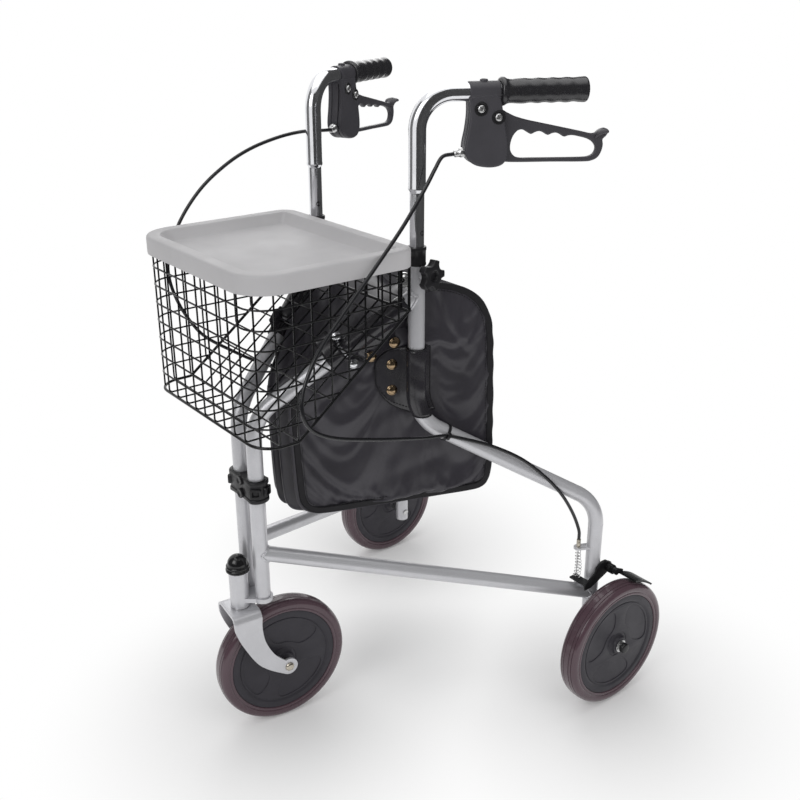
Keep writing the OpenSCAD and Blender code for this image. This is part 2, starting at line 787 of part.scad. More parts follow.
module brake_pivot(s) {
    x = arm_x - arm_side_gap - bracket_t;
    pin_len = bracket_t + arm_side_gap + arm_w + seat_gap;
    color(black) flip(s) difference() {
        union() {
            cross_plate(x, bracket_t) {
                translate(brake_pivot) circle(r = bracket_r);
                translate([rear_y, brake_pivot[1] - bracket_r]) square([brake_pivot_back, 2 * bracket_r]);
            }
            translate([x, brake_pivot[0], brake_pivot[1]]) rotate([0, 90, 0]) {
                cylinder(d = brake_pin_d, h = pin_len);
                translate([0, 0, pin_len]) cylinder(d = brake_eye_d, h = arm_t);
            }
        }
        translate([leg_x, rear_y, axle_z]) cylinder(d = tube_d + 2 * weld_gap, h = rear_top_z);
    }
}
module brake_arm(s) {
    inner = axle_z + blade_gap;
    back = rear_y + inner * sin(blade_from);
    color(black) flip(s) difference() {
        union() {
            // Side sheet from the lug to the pivot
            cross_plate(arm_x, arm_t) {
                translate(brake_pivot) circle(r = arm_web_h);
                polygon([
                    [wire_y - lug_half, lug_z - arm_web_h], [wire_y + lug_half, lug_z - arm_web_h],
                    [brake_pivot[0], brake_pivot[1] - arm_web_h],
                    [brake_pivot[0], brake_pivot[1] + arm_web_h],
                    [wire_y + lug_half, lug_z + arm_web_h], [wire_y - lug_half, lug_z]
                ]);
            }
            // Lug under the spring
            translate([wire_x - lug_half, wire_y - lug_half, lug_z - arm_t])
                cube([arm_x - wire_x + lug_half + arm_t, 2 * lug_half, arm_t]);
            // Eye and the sheet that carries the blade
            translate([arm_x, brake_pivot[0], brake_pivot[1]]) rotate([0, 90, 0])
                cylinder(d = brake_eye_d, h = arm_w);
            cross_plate(arm_x + arm_w - arm_t, arm_t) polygon([
                [brake_pivot[0], brake_pivot[1] - brake_eye_d / 2],
                [brake_pivot[0], brake_pivot[1] + brake_eye_d / 2],
                [back + arm_web_h, brake_pivot[1] - blade_t], [back + arm_web_h, wheel_d - blade_t],
                [back, wheel_d + blade_gap / 2]
            ]);
            // Blade, curved over the tyre
            translate([wheel_x - blade_w / 2 - arm_t, rear_y, axle_z])
                rotate([90, 0, 90]) rotate([0, 0, 90 - blade_to])
                    rotate_extrude(angle = blade_to - blade_from)
                        translate([inner, 0]) square([blade_t, blade_w]);
        }
        translate([arm_x - cut, brake_pivot[0], brake_pivot[1]]) rotate([0, 90, 0])
            cylinder(d = brake_pin_d + 2 * run_gap, h = arm_w + 2 * cut);
        translate([wire_x, wire_y, lug_z - arm_t - cut]) cylinder(d = lug_hole_d, h = arm_t + 2 * cut);
    }
}

// Wheels: local Z is the axle
module tyre_shape() {
    tread = [for (k = tread_steps) each [
        [axle_z - k[1], k[0] * side_half - tread_step_h], [axle_z - k[1] - tread_step_h, k[0] * side_half]
    ]];
    half = concat(tread, [
        [axle_z - shoulder_h, side_half],
        [bead_r + tread_step_h, side_half - tread_step_h],
        [bead_r, rim_half]
    ]);
    rotate_extrude() polygon(concat(
        half, [for (k = [len(half) - 1 : -1 : 0]) [half[k][0], -half[k][1]]]
    ));
}
module hub_shape() {
    r = bead_r - run_gap;
    half = [
        [boss_r, hub_len / 2], [boss_r + hub_len / 2 - web_half, web_half], [r - rim_h, web_half],
        [r - rim_h + rim_half - web_half, rim_half], [r, rim_half]
    ];
    rotate_extrude() polygon(concat(
        [[hub_bore_d / 2, -hub_len / 2], [hub_bore_d / 2, hub_len / 2]], half,
        [for (k = [len(half) - 1 : -1 : 0]) [half[k][0], -half[k][1]]]
    ));
}
module rear_wheel_place(s) {
    on_axle(s) translate([0, 0, wheel_x - leg_x]) children();
}
module tyre(s) {
    color(rubber) rear_wheel_place(s) tyre_shape();
}
module hub(s) {
    color(charcoal) rear_wheel_place(s) hub_shape();
}
module rear_axle(s) {
    side = tube_d / 2 + seat_gap;
    hub_in = wheel_x - leg_x - hub_len / 2 - seat_gap;
    hub_out = hub_in + hub_len + 2 * seat_gap;
    color(zinc) on_axle(s) {
        translate([0, 0, -side - axle_head_h]) cylinder(d = axle_head_d, h = axle_head_h);
        translate([0, 0, -side]) cylinder(d = axle_d, h = side + hub_out + nut_h);
        translate([0, 0, side]) cylinder(d = spacer_d, h = hub_in - side);
        translate([0, 0, hub_out]) cylinder(d = nut_d, h = nut_h, $fn = 6);
    }
}
module front_wheel_place() {
    on_caster() translate([0, trail, axle_z]) rotate([0, 90, 0]) children();
}
module front_tyre() {
    color(rubber) front_wheel_place() tyre_shape();
}
module front_hub() {
    color(charcoal) front_wheel_place() hub_shape();
}
module front_axle() {
    inner = fork_gap / 2 - seat_gap;
    outer = fork_gap / 2 + fork_t;
    hub_half = hub_len / 2 + seat_gap;
    color(zinc) front_wheel_place() {
        cylinder(d = axle_d, h = 2 * outer, center = true);
        for (f = [-1, 1]) {
            translate([0, 0, f * (outer + axle_head_h / 2)])
                cylinder(d = axle_head_d, h = axle_head_h, center = true);
            translate([0, 0, f * (inner + hub_half) / 2])
                cylinder(d = spacer_d, h = inner - hub_half, center = true);
        }
    }
}

// Fork: a bent strap, cut to its side outline
module fork_side() {
    drop = crown_top_z - axle_z;
    translate([trail, axle_z]) circle(r = fork_end_r);
    polygon(concat(
        [[crown_back, crown_top_z], [-crown_front, crown_top_z]],
        [for (k = fork_front_shares) [k[0] * trail, crown_top_z - k[1] * drop]],
        [[trail, axle_z]],
        [for (k = fork_back_shares) [k[0] * trail, crown_top_z - k[1] * drop]]
    ));
}
module rounded_bar(half, top, r) {
    translate([-half, 0]) square([2 * half, top - r]);
    translate([r - half, 0]) square([2 * (half - r), top]);
    for (f = [-1, 1]) translate([f * (half - r), top - r]) circle(r = r);
}
module fork() {
    half = fork_gap / 2 + fork_t;
    color(paint) on_caster() difference() {
        intersection() {
            rotate([90, 0, 0]) translate([0, 0, -wheel_d]) linear_extrude(2 * wheel_d) difference() {
                rounded_bar(half, crown_top_z, fork_round);
                rounded_bar(half - fork_t, crown_z, fork_round - fork_t);
            }
            cross_plate(-wheel_d / 2, wheel_d) fork_side();
        }
        translate([0, trail, axle_z]) rotate([0, 90, 0])
            cylinder(d = axle_d + 2 * run_gap, h = wheel_d, center = true);
    }
}
module kingpin() {
    top = stem_z + stem_len + kingpin_rise;
    color(zinc) on_caster() {
        translate([0, 0, crown_top_z]) cylinder(d = kingpin_d, h = top - crown_top_z);
        translate([0, 0, crown_top_z]) cylinder(d = stem_d - stem_wall, h = washer_h);
        translate([0, 0, stem_z + stem_len + seat_gap])
            cylinder(d = stem_d - 2 * stem_wall, h = nut_h, $fn = 6);
    }
}

// Head
module hinge_places() {
    for (f = [-1, 1]) translate([f * hinge_half, hinge_y]) children();
}
module head_bracket() {
    color(paint) difference() {
        union() {
            translate([0, stem_y, stem_z]) cylinder(d = stem_d, h = stem_len);
            translate([0, 0, plate_z]) linear_extrude(plate_t) {
                hinge_places() circle(r = plate_edge);
                polygon([
                    [-stem_d / 2, stem_y], [stem_d / 2, stem_y], [hinge_half + plate_edge, hinge_y],
                    [hinge_half, hinge_y + plate_edge], [-hinge_half, hinge_y + plate_edge],
                    [-hinge_half - plate_edge, hinge_y]
                ]);
            }
        }
        translate([0, stem_y, stem_z - cut]) cylinder(d = stem_d - 2 * stem_wall, h = stem_len + 2 * cut);
        hinge_places() translate([0, 0, plate_z - cut])
            cylinder(d = hinge_bolt_d + 2 * run_gap, h = plate_t + 2 * cut);
    }
}
module stem_bearings() {
    for (z = [stem_z, stem_z + stem_len - bearing_h]) color(zinc) translate([0, stem_y, z])
        linear_extrude(bearing_h) ring(stem_d - 2 * stem_wall - 2 * run_gap, kingpin_d + 2 * run_gap);
}
module stem_cap() {
    top = stem_z + stem_len;
    color(black) translate([0, stem_y, top]) difference() {
        union() {
            translate([0, 0, -cap_skirt]) cylinder(d = cap_flange_d, h = cap_flange_h);
            translate([0, 0, cap_dome_rise]) sphere(r = cap_dome_r);
        }
        translate([0, 0, -cap_skirt - cap_dome_r])
            cylinder(d = stem_d + 2 * run_gap, h = cap_skirt + cap_dome_r);
        translate([0, 0, -cut]) cylinder(r = cap_dome_r - cap_wall, h = cut + kingpin_rise + seat_gap);
    }
}
module clamp_screw_places() {
    for (f = [-1, 1]) translate([0, hinge_y, clamp_z + clamp_h / 2 + f * clamp_screw_step])
        rotate([90, 0, 0]) children();
}
module clamp_half(f) {
    depth = tube_d / 2 + clamp_wall;
    color(black) difference() {
        union() {
            hinge_places() translate([0, 0, clamp_z]) cylinder(r = depth, h = clamp_h);
            translate([-hinge_half, hinge_y - clamp_waist / 2, clamp_z])
                cube([hinge_gap, clamp_waist, clamp_h]);
        }
        hinge_places() translate([0, 0, clamp_z - cut])
            cylinder(d = tube_d + 2 * run_gap, h = clamp_h + 2 * cut);
        clamp_screw_places() cylinder(d = clamp_screw_d + 2 * run_gap, h = 2 * clamp_waist, center = true);
        split_y = f > 0 ? clamp_split - hinge_gap : -clamp_split;
        translate([-hinge_gap, hinge_y + split_y, clamp_z - cut])
            cube([2 * hinge_gap, hinge_gap, clamp_h + 2 * cut]);
    }
}
module clamp_front() {
    clamp_half(-1);
}
module clamp_back() {
    clamp_half(1);
}
module head_fasteners() {
    color(zinc) {
        hinge_places() translate([0, 0, plate_z - bolt_head_h]) {
            cylinder(d = bolt_head_d, h = bolt_head_h, $fn = 6);
            cylinder(d = hinge_bolt_d, h = bolt_head_h + plate_t + seat_gap + plug_h);
        }
        clamp_screw_places() {
            cylinder(d = clamp_screw_d, h = clamp_waist, center = true);
            for (f = [-1, 1]) translate([0, 0, f * (clamp_waist + screw_head_h) / 2])
                cylinder(d = screw_head_d, h = screw_head_h, center = true, $fn = 6);
        }
    }
}

// Basket: flat wire panels and rounded corners that meet at their edges
function cells(l) = round((l - wire_d) / mesh_pitch);
module mesh(w, h) {
    nx = cells(w);
    ny = cells(h);
    px = (w - wire_d) / nx;
    py = (h - wire_d) / ny;
    difference() {
        square([w, h]);
        for (i = [0 : nx - 1], k = [0 : ny - 1]) translate([i * px + wire_d, k * py + wire_d])
            square([px - wire_d, py - wire_d]);
    }
}
module basket_side_view(e) {
    low = basket_floor_z + wire_d + panel_gap + e;
    polygon([
        [basket_front_y + e, low], [top_break_y, low],
        [basket_rear_y - e, slope_end_z + slope_step + 2 * panel_gap + e],
        [basket_rear_y - e, basket_top_z - e], [basket_front_y + e, basket_top_z - e]
    ]);
}
module above_floor() {
    intersection() {
        children();
        cross_plate(-basket_half, 2 * basket_half) basket_side_view(0);
    }
}
module basket_corner(r) {
    rows = cells(basket_tall);
    stakes = cells(r * PI / 2);
    for (k = [0 : rows]) translate([0, 0, k * (basket_tall - wire_d) / rows])
        rotate_extrude(angle = 90) translate([r - wire_d, 0]) square(wire_d);
    for (k = [1 : 1 : stakes]) rotate(90 * k / (stakes + 1)) translate([r - wire_d, -wire_d / 2, 0])
        cube([wire_d, wire_d, basket_tall]);
}
module basket_wall(w) {
    rotate([90, 0, 0]) linear_extrude(wire_d) mesh(w, basket_tall);
}
module basket() {
    front_w = 2 * (basket_half - basket_front_r - panel_gap);
    rear_w = 2 * (basket_half - basket_rear_r - panel_gap);
    side_from = basket_front_y + basket_front_r + panel_gap;
    side_to = basket_rear_y - basket_rear_r - panel_gap;
    floor_len = floor_break_y - basket_front_y - wire_d * sin(basket_slope) - panel_gap;
    color(black) {
        // Front and back
        above_floor() {
            translate([-front_w / 2, basket_front_y + wire_d, basket_floor_z]) basket_wall(front_w);
            translate([-rear_w / 2, basket_rear_y, basket_floor_z]) basket_wall(rear_w);
        }
        // Sides, with a wire along the lower edge
        for (f = [-1, 1]) translate([f * (basket_half - wire_d / 2) - wire_d / 2, 0, 0]) rotate([90, 0, 90])
            linear_extrude(wire_d) intersection() {
                basket_side_view(0);
                union() {
                    translate([side_from, basket_floor_z]) mesh(side_to - side_from, basket_tall);
                    intersection() {
                        translate([side_from, basket_floor_z]) square([side_to - side_from, basket_tall]);
                        difference() {
                            basket_side_view(0);
                            basket_side_view(wire_d);
                        }
                    }
                }
            }
        // Corners
        for (f = [0, 1]) mirror([f, 0, 0]) above_floor() {
            translate([basket_half - basket_front_r, basket_front_y + basket_front_r, basket_floor_z])
                mirror([0, 1, 0]) basket_corner(basket_front_r);
            intersection() {
                translate([basket_half - basket_rear_r, basket_rear_y - basket_rear_r, basket_floor_z])
                    basket_corner(basket_rear_r);
                translate([0, basket_front_y, slope_end_z - wire_d]) cube(2 * basket_half);
            }
        }
        // Floor and slope
        intersection() {
            union() {
                translate([-basket_half, basket_front_y, basket_floor_z])
                    linear_extrude(wire_d) mesh(2 * basket_half, floor_len);
                translate([-basket_half, floor_break_y, basket_floor_z]) rotate([basket_slope, 0, 0])
                    linear_extrude(wire_d) mesh(2 * basket_half, slope_len);
            }
            translate([0, 0, basket_floor_z]) linear_extrude(basket_tall) basket_plan();
        }
    }
}

// Tray
module rounded_box(x, y0, y1, front_r, rear_r) {
    difference() {
        translate([-x, y0]) square([2 * x, y1 - y0]);
        for (f = [0, 1]) mirror([f, 0]) {
            corner_cut([x - front_r, y0 + front_r], front_r, [1, -1]);
            corner_cut([x - rear_r, y1 - rear_r], rear_r, [1, 1]);
        }
    }
}
module corner_cut(p, r, way) {
    translate(p) difference() {
        scale_way(way) square(r + cut);
        circle(r = r);
    }
}
module scale_way(way) {
    mirror([way[0] < 0 ? 1 : 0, 0]) mirror([0, way[1] < 0 ? 1 : 0]) children();
}
module basket_plan() {
    rounded_box(basket_half, basket_front_y, basket_rear_y, basket_front_r, basket_rear_r);
}
module tray_plan(inset) {
    rounded_box(
        tray_w / 2 - inset, tray_front_y + inset, tray_rear_y - inset,
        max(tray_front_r - inset, tray_wall), max(tray_rear_r - inset, tray_wall)
    );
}
module tray() {
    low = tray_top_z - tray_h;
    under = tray_floor_z - tray_wall;
    color(tray_grey) difference() {
        translate([0, 0, low]) linear_extrude(tray_h) tray_plan(0);
        translate([0, 0, tray_floor_z]) linear_extrude(tray_h) tray_plan(tray_rim);
        translate([0, 0, low - cut]) linear_extrude(under - low + cut) tray_plan(tray_wall);
        translate([0, 0, low - cut]) linear_extrude(tray_h - tray_wall + cut) difference() {
            tray_plan(tray_wall);
            tray_plan(tray_rim - tray_wall);
        }
    }
}

// Bag: an open wedge of cloth
module bag_outline(e) {
    polygon([
        [bag_front_y + e, bag_bottom_z + e], [bag_rear_y - e, bag_bottom_z + e],
        [bag_rear_y - e, bag_top_z - 2 * bag_corner], [bag_rear_y - e - bag_corner, bag_top_z + e],
        [basket_rear_y + bag_slope_gap, bag_top_z + e], [basket_rear_y, slope_end_z - 2 * bag_slope_gap + e],
        [bag_front_y + e, slope_z(bag_front_y) - 2 * bag_slope_gap + e]
    ]);
}
module bag_solid(e) {
    intersection() {
        cross_plate(-bag_rear_half, 2 * bag_rear_half) bag_outline(e);
        translate([0, 0, bag_bottom_z]) linear_extrude(bag_top_z) polygon([
            [-bag_front_half + e, bag_front_y], [bag_front_half - e, bag_front_y],
            [bag_rear_half - e, bag_rear_y], [-bag_rear_half + e, bag_rear_y]
        ]);
    }
}
module bag() {
    color(black) difference() {
        bag_solid(0);
        bag_solid(bag_wall);
    }
}

// Basket stud: a tab on the rear tube with a domed head
module basket_stud(s) {
    color(zinc) on_side(s) difference() {
        union() {
            translate([stud_u, -stud_tab_t / 2, stud_z - stud_tab_h / 2])
                cube([rear_u - stud_u, stud_tab_t, stud_tab_h]);
            translate([stud_u, stud_tab_t / 2, stud_z]) rotate([90, 0, 0]) {
                cylinder(d = stud_tab_h, h = stud_tab_t);
                cylinder(d = stud_d, h = stud_tab_t + stud_h - stud_round);
                cylinder(d1 = stud_d, d2 = stud_d - 2 * stud_round, h = stud_tab_t + stud_h);
            }
        }
        post_cut(rear_u);
    }
}

head_bracket();
stem_cap();
clamp_front();
clamp_back();
head_fasteners();
stem_bearings();
fork();
kingpin();
front_axle();
front_tyre();
front_hub();
basket();
tray();
bag();
front_tube(1);  // left_front_tube
rear_tube(1);  // left_rear_tube
lower_bar(1);  // left_lower_bar
height_collar(1);  // left_height_collar
cable_stop(1);  // left_cable_stop
cable_ferrule(1);  // left_cable_ferrule
pull_wire(1);  // left_pull_wire
return_spring(1);  // left_return_spring
brake_cable(1);  // left_brake_cable
cable_tie(1);  // left_cable_tie
handle_tube(1);  // left_handle_tube
grip(1);  // left_grip
brake_housing(1);  // left_brake_housing
lever_bolts(1);  // left_lever_bolts
cable_adjuster(1);  // left_cable_adjuster
brake_lever(1);  // left_brake_lever
star_knob(1);  // left_star_knob
basket_stud(1);  // left_basket_stud
brake_pivot(1);  // left_brake_pivot
brake_arm(1);  // left_brake_arm
rear_axle(1);  // left_rear_axle
tyre(1);  // left_tyre
hub(1);  // left_hub
front_tube(-1);  // right_front_tube
rear_tube(-1);  // right_rear_tube
lower_bar(-1);  // right_lower_bar
height_collar(-1);  // right_height_collar
cable_stop(-1);  // right_cable_stop
cable_ferrule(-1);  // right_cable_ferrule
pull_wire(-1);  // right_pull_wire
return_spring(-1);  // right_return_spring
brake_cable(-1);  // right_brake_cable
cable_tie(-1);  // right_cable_tie
handle_tube(-1);  // right_handle_tube
grip(-1);  // right_grip
brake_housing(-1);  // right_brake_housing
lever_bolts(-1);  // right_lever_bolts
cable_adjuster(-1);  // right_cable_adjuster
brake_lever(-1);  // right_brake_lever
star_knob(-1);  // right_star_knob
basket_stud(-1);  // right_basket_stud
brake_pivot(-1);  // right_brake_pivot
brake_arm(-1);  // right_brake_arm
rear_axle(-1);  // right_rear_axle
tyre(-1);  // right_tyre
hub(-1);  // right_hub
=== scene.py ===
"""Looks of a three wheel rollator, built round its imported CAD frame.

Sizes are written in millimetres in the row frame (+Z up, front -Y, the user's left +X) and turned to
metres when a mesh is made. A side frame's own places are (u, v, z): u back along the frame from its
hinge, v inward from the frame's plane, z up. Left pieces are drawn, right pieces are mirrored.
"""
import math

import bmesh
import bpy
import numpy as np
from mathutils import Matrix, Vector


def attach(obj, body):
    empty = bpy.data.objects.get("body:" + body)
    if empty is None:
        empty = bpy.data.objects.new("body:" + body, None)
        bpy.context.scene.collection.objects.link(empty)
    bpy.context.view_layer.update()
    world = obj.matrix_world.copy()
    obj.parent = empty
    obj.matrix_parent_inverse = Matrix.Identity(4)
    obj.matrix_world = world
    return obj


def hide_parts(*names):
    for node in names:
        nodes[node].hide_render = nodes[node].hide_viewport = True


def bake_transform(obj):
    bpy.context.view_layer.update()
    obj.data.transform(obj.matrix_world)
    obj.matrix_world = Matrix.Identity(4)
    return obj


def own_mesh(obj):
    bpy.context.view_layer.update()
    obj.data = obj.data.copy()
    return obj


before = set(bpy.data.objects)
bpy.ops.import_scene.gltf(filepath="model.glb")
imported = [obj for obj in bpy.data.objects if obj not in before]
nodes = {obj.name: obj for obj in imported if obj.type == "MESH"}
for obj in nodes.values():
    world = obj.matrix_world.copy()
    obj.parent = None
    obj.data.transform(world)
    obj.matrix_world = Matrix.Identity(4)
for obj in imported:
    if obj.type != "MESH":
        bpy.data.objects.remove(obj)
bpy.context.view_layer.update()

MM = 0.001
SIDES = ("left", "right")

# Side frame
SPLAY = math.radians(25.75)
HINGE = np.array([20.0, -241.0, 0.0])
ALONG = np.array([math.sin(SPLAY), math.cos(SPLAY), 0.0])
INWARD = np.array([-math.cos(SPLAY), math.sin(SPLAY), 0.0])
ACROSS, BACK, UP = np.eye(3)
TUBE_R = 11.1
REAR_U = 223.0
FRONT_APEX_Z = 500.0
DIAG_TAN = math.tan(math.radians(35.2))
REAR_APEX_Z = 480.5
LEG_APEX_Z = 318.0
REAR_Y = 210.0
LEG_U = (REAR_Y - HINGE[1]) / math.cos(SPLAY)
BAR_FRONT_Z = 295.0
BAR_REAR_Z = 163.0
GRIP_Z = 911.0

# Wheels
WHEEL_R = 100.0
WHEEL_X = 286.5
STEM = np.array([0.0, -268.0, 0.0])
TRAIL = 58.0
CASTER_TURN = math.radians(-7)
CASTER_X = np.array([math.cos(CASTER_TURN), math.sin(CASTER_TURN), 0.0])
CASTER_Y = np.array([-math.sin(CASTER_TURN), math.cos(CASTER_TURN), 0.0])
FRONT_CENTRE = STEM + TRAIL * CASTER_Y + np.array([0, 0, WHEEL_R])


def side_to_row(points):
    """Points given as (u, v, z) of the left frame, in the row frame."""
    p = np.asarray(points, float)
    return HINGE + p[..., :1] * ALONG + p[..., 1:2] * INWARD + p[..., 2:] * UP


def on_frame(u, v, z):
    """A point of the left side frame in the row frame."""
    return side_to_row((u, v, z))


LEG_X = float(on_frame(LEG_U, 0, 0)[0])


# Shapes
# A shape is a pair: an array of points and a list of faces.


def join(*shapes):
    """All the shapes as one."""
    points, faces, base = [], [], 0
    for p, f in shapes:
        points.append(np.asarray(p, float).reshape(-1, 3))
        faces += [[i + base for i in face] for face in f]
        base += len(points[-1])
    return np.concatenate(points), faces


def mirrored(shape):
    """The shape on the other side of the object."""
    return shape[0] * (-1, 1, 1), [face[::-1] for face in shape[1]]


def placed(shape, origin, x, y, z):
    """The shape with its own axes laid along x, y and z at origin."""
    return np.asarray(origin) + shape[0] @ np.array([x, y, z]), shape[1]


def polar(radius, degrees):
    """A flat place at that distance and bearing."""
    a = math.radians(degrees)
    return np.array([radius * math.cos(a), radius * math.sin(a)])


def circle(radius, sides):
    a = np.linspace(0, 2 * math.pi, sides, endpoint=False)
    return np.stack([radius * np.cos(a), radius * np.sin(a)], 1)


def flat_section(width, thick):
    """A strap's section with rounded edges."""
    h, t, c = width / 2, thick / 2, min(width, thick) * 0.3
    quarter = np.array([[h, t - c], [h - c, t]])
    far = quarter[::-1] * (-1, 1)
    return np.concatenate([-quarter, -far, quarter, far])


def spline(points, per=6, closed=False):
    """A Catmull-Rom line through the points."""
    p = np.asarray(points, float)
    n = len(p)
    spans = n if closed else n - 1
    out = []
    for i in range(spans):
        if closed:
            a, b, c, d = p[i - 1], p[i], p[(i + 1) % n], p[(i + 2) % n]
        else:
            b, c = p[i], p[i + 1]
            a = p[i - 1] if i else 2 * b - c
            d = p[i + 2] if i + 2 < n else 2 * c - b
        for k in range(per):
            t = k / per
            out.append(0.5 * (2 * b + (c - a) * t + (2 * a - 5 * b + 4 * c - d) * t**2
                              + (3 * b - a - 3 * c + d) * t**3))
    if not closed:
        out.append(p[-1])
    return np.array(out)


def bent(points, radius, steps=10):
    """A line with its inner corners rounded to the radius."""
    p = [np.asarray(q, float) for q in points]
    out = [p[0]]
    for a, b, c in zip(p, p[1:], p[2:]):
        d1, d2 = (a - b) / np.linalg.norm(a - b), (c - b) / np.linalg.norm(c - b)
        half = math.acos(max(-1.0, min(1.0, float(d1 @ d2)))) / 2
        if half > math.pi / 2 - 1e-3:
            out.append(b)
            continue
        r = min(radius, 0.95 * math.tan(half) * min(np.linalg.norm(a - b), np.linalg.norm(c - b)) / 2)
        centre = b + (d1 + d2) / np.linalg.norm(d1 + d2) * r / math.sin(half)
        start, end = b + d1 * r / math.tan(half) - centre, b + d2 * r / math.tan(half) - centre
        whole = math.pi - 2 * half
        for k in range(steps + 1):
            w = k / steps
            out.append(centre + (math.sin((1 - w) * whole) * start + math.sin(w * whole) * end) / math.sin(whole))
    return np.array(out + [p[-1]])


def bent_loop(points, radius):
    """A closed outline with rounded corners."""
    p = [np.asarray(q, float) for q in points]
    out = []
    for a, b, c in zip([p[-1], *p], p, [*p[1:], p[0]]):
        out += list(bent([a, b, c], radius, 5)[1:-1])
    return np.array(out)


def steps_of(line):
    """The distance from each point of a line to the next."""
    return np.linalg.norm(np.diff(line, axis=0), axis=1)


def walked(line):
    """How far along a line each of its points lies."""
    return np.concatenate([[0], np.cumsum(steps_of(line))])


def evened(line, count):
    """The line with its points spread evenly."""
    line = np.asarray(line, float)
    s = walked(line)
    at = np.linspace(0, s[-1], count)
    return np.stack([np.interp(at, s, line[:, k]) for k in range(line.shape[1])], 1)


def tube_faces(rings, per_ring, closed=False):
    """Faces of a tube made of rings of points, with flat ends where it isn't closed on itself."""
    faces = []
    for i in range(rings if closed else rings - 1):
        here, there = i * per_ring, (i + 1) % rings * per_ring
        for k in range(per_ring):
            after = (k + 1) % per_ring
            faces.append([here + k, here + after, there + after, there + k])
    if not closed:
        faces += [list(range(per_ring))[::-1], list(range((rings - 1) * per_ring, rings * per_ring))]
    return faces


def sweep(line, section, guide=None, closed=False, sizes=None):
    """A tube of that section along a line. guide is the direction that the section's own y stays near."""
    line = np.asarray(line, float)
    n = len(line)
    if closed:
        tangent = np.roll(line, -1, 0) - np.roll(line, 1, 0)
    else:
        tangent = np.gradient(line, axis=0)
    tangent /= np.linalg.norm(tangent, axis=1)[:, None]
    side = np.zeros((n, 3))
    if guide is None:
        seed = np.eye(3)[np.argmin(np.abs(tangent[0]))]
        side[0] = np.cross(tangent[0], seed)
        for i in range(1, n):
            side[i] = side[i - 1] - tangent[i] * (side[i - 1] @ tangent[i])
            side[i] /= np.linalg.norm(side[i])
        side[0] -= tangent[0] * (side[0] @ tangent[0])
    else:
        side = np.cross(np.broadcast_to(np.asarray(guide, float), (n, 3)), tangent)
    side /= np.linalg.norm(side, axis=1)[:, None]
    if closed and guide is None:
        last = side[-1] - tangent[0] * (side[-1] @ tangent[0])
        twist = math.atan2(np.cross(last, side[0]) @ tangent[0], last @ side[0])
        for i in range(n):
            a = twist * i / n
            side[i] = side[i] * math.cos(a) + np.cross(tangent[i], side[i]) * math.sin(a)
    rise = np.cross(tangent, side)
    scale = np.ones(n) if sizes is None else np.asarray(sizes, float)
    rings = (line[:, None] + scale[:, None, None] * (section[None, :, :1] * side[:, None]
             + section[None, :, 1:] * rise[:, None]))
    return rings.reshape(-1, 3), tube_faces(n, len(section), closed)


def rod(line, radius, sides=12, closed=False, sizes=None):
    """A round bar along a line."""
    return sweep(line, circle(radius, sides), closed=closed, sizes=sizes)


def two_faced(half):
    """A profile of (radius, along), with its mirror image before its first point."""
    return [(r, -a) for r, a in half[:0:-1]] + half


def lathe(profile, origin, axis, steps=72, closed=False):
    """A profile of (radius, along) turned about an axis. A radius of zero closes an end."""
    axis = np.asarray(axis, float) / np.linalg.norm(axis)
    seed = np.eye(3)[np.argmin(np.abs(axis))]
    x = np.cross(seed, axis)
    x /= np.linalg.norm(x)
    y = np.cross(axis, x)
    a = np.linspace(0, 2 * math.pi, steps, endpoint=False)
    ring = np.cos(a)[:, None] * x + np.sin(a)[:, None] * y
    points, rows = [], []
    for r, s in profile:
        rows.append((len(points), r < 1e-6))
        if r < 1e-6:
            points.append(origin + s * axis)
        else:
            points += list(origin + s * axis + r * ring)
    faces = []
    pairs = list(zip(rows, rows[1:] + rows[:1])) if closed else list(zip(rows, rows[1:]))
    for (i, i_tip), (j, j_tip) in pairs:
        for k in range(steps):
            after = (k + 1) % steps
            if i_tip and not j_tip:
                faces.append([i, j + after, j + k])
            elif j_tip and not i_tip:
                faces.append([i + k, i + after, j])
            elif not i_tip and not j_tip:
                faces.append([i + k, i + after, j + after, j + k])
    return np.array(points), faces


def put(name, data):
    """A new object in the scene."""
    obj = bpy.data.objects.new(name, data)
    bpy.context.scene.collection.objects.link(obj)
    return obj


def plain_mesh(name, points, faces):
    mesh = bpy.data.meshes.new(name)
    mesh.from_pydata([tuple(p) for p in points], [], faces)
    return mesh


def moulded(outline, thick, rounding, holes=(), resolution=3):
    """A flat outline, with its holes, made into a plate with rounded edges. Its middle plane is z 0."""
    curve = bpy.data.curves.new("outline", "CURVE")
    curve.dimensions = "2D"
    curve.fill_mode = "BOTH"
    curve.extrude = thick / 2 - rounding
    curve.bevel_depth = rounding
    curve.bevel_resolution = resolution
    curve.offset = -rounding
    for loop in [outline, *holes]:
        line = curve.splines.new("POLY")
        line.points.add(len(loop) - 1)
        for point, (x, y) in zip(line.points, loop):
            point.co = (x, y, 0, 1)
        line.use_cyclic_u = True
    obj = put("outline", curve)
    bpy.context.view_layer.update()
    mesh = obj.evaluated_get(bpy.context.evaluated_depsgraph_get()).to_mesh()
    points = np.array([v.co for v in mesh.vertices], float).reshape(-1, 3)
    faces = [list(p.vertices) for p in mesh.polygons]
    bpy.data.objects.remove(obj)
    bpy.data.curves.remove(curve)
    return points, faces


def side_moulded(outline, thick, rounding, holes=(), v=0.0):
    """A moulded plate drawn as (u, z) and centred v inward of the left frame's plane."""
    return placed(moulded(outline, thick, rounding, holes), HINGE + v * INWARD, ALONG, UP, -INWARD)


def grid(points):
    """A sheet over a grid of points, rows by columns."""
    rows, columns = points.shape[:2]
    faces = [
        [i * columns + j, i * columns + j + 1, (i + 1) * columns + j + 1, (i + 1) * columns + j]
        for i in range(rows - 1) for j in range(columns - 1)
    ]
    return points.reshape(-1, 3), faces


# Pieces


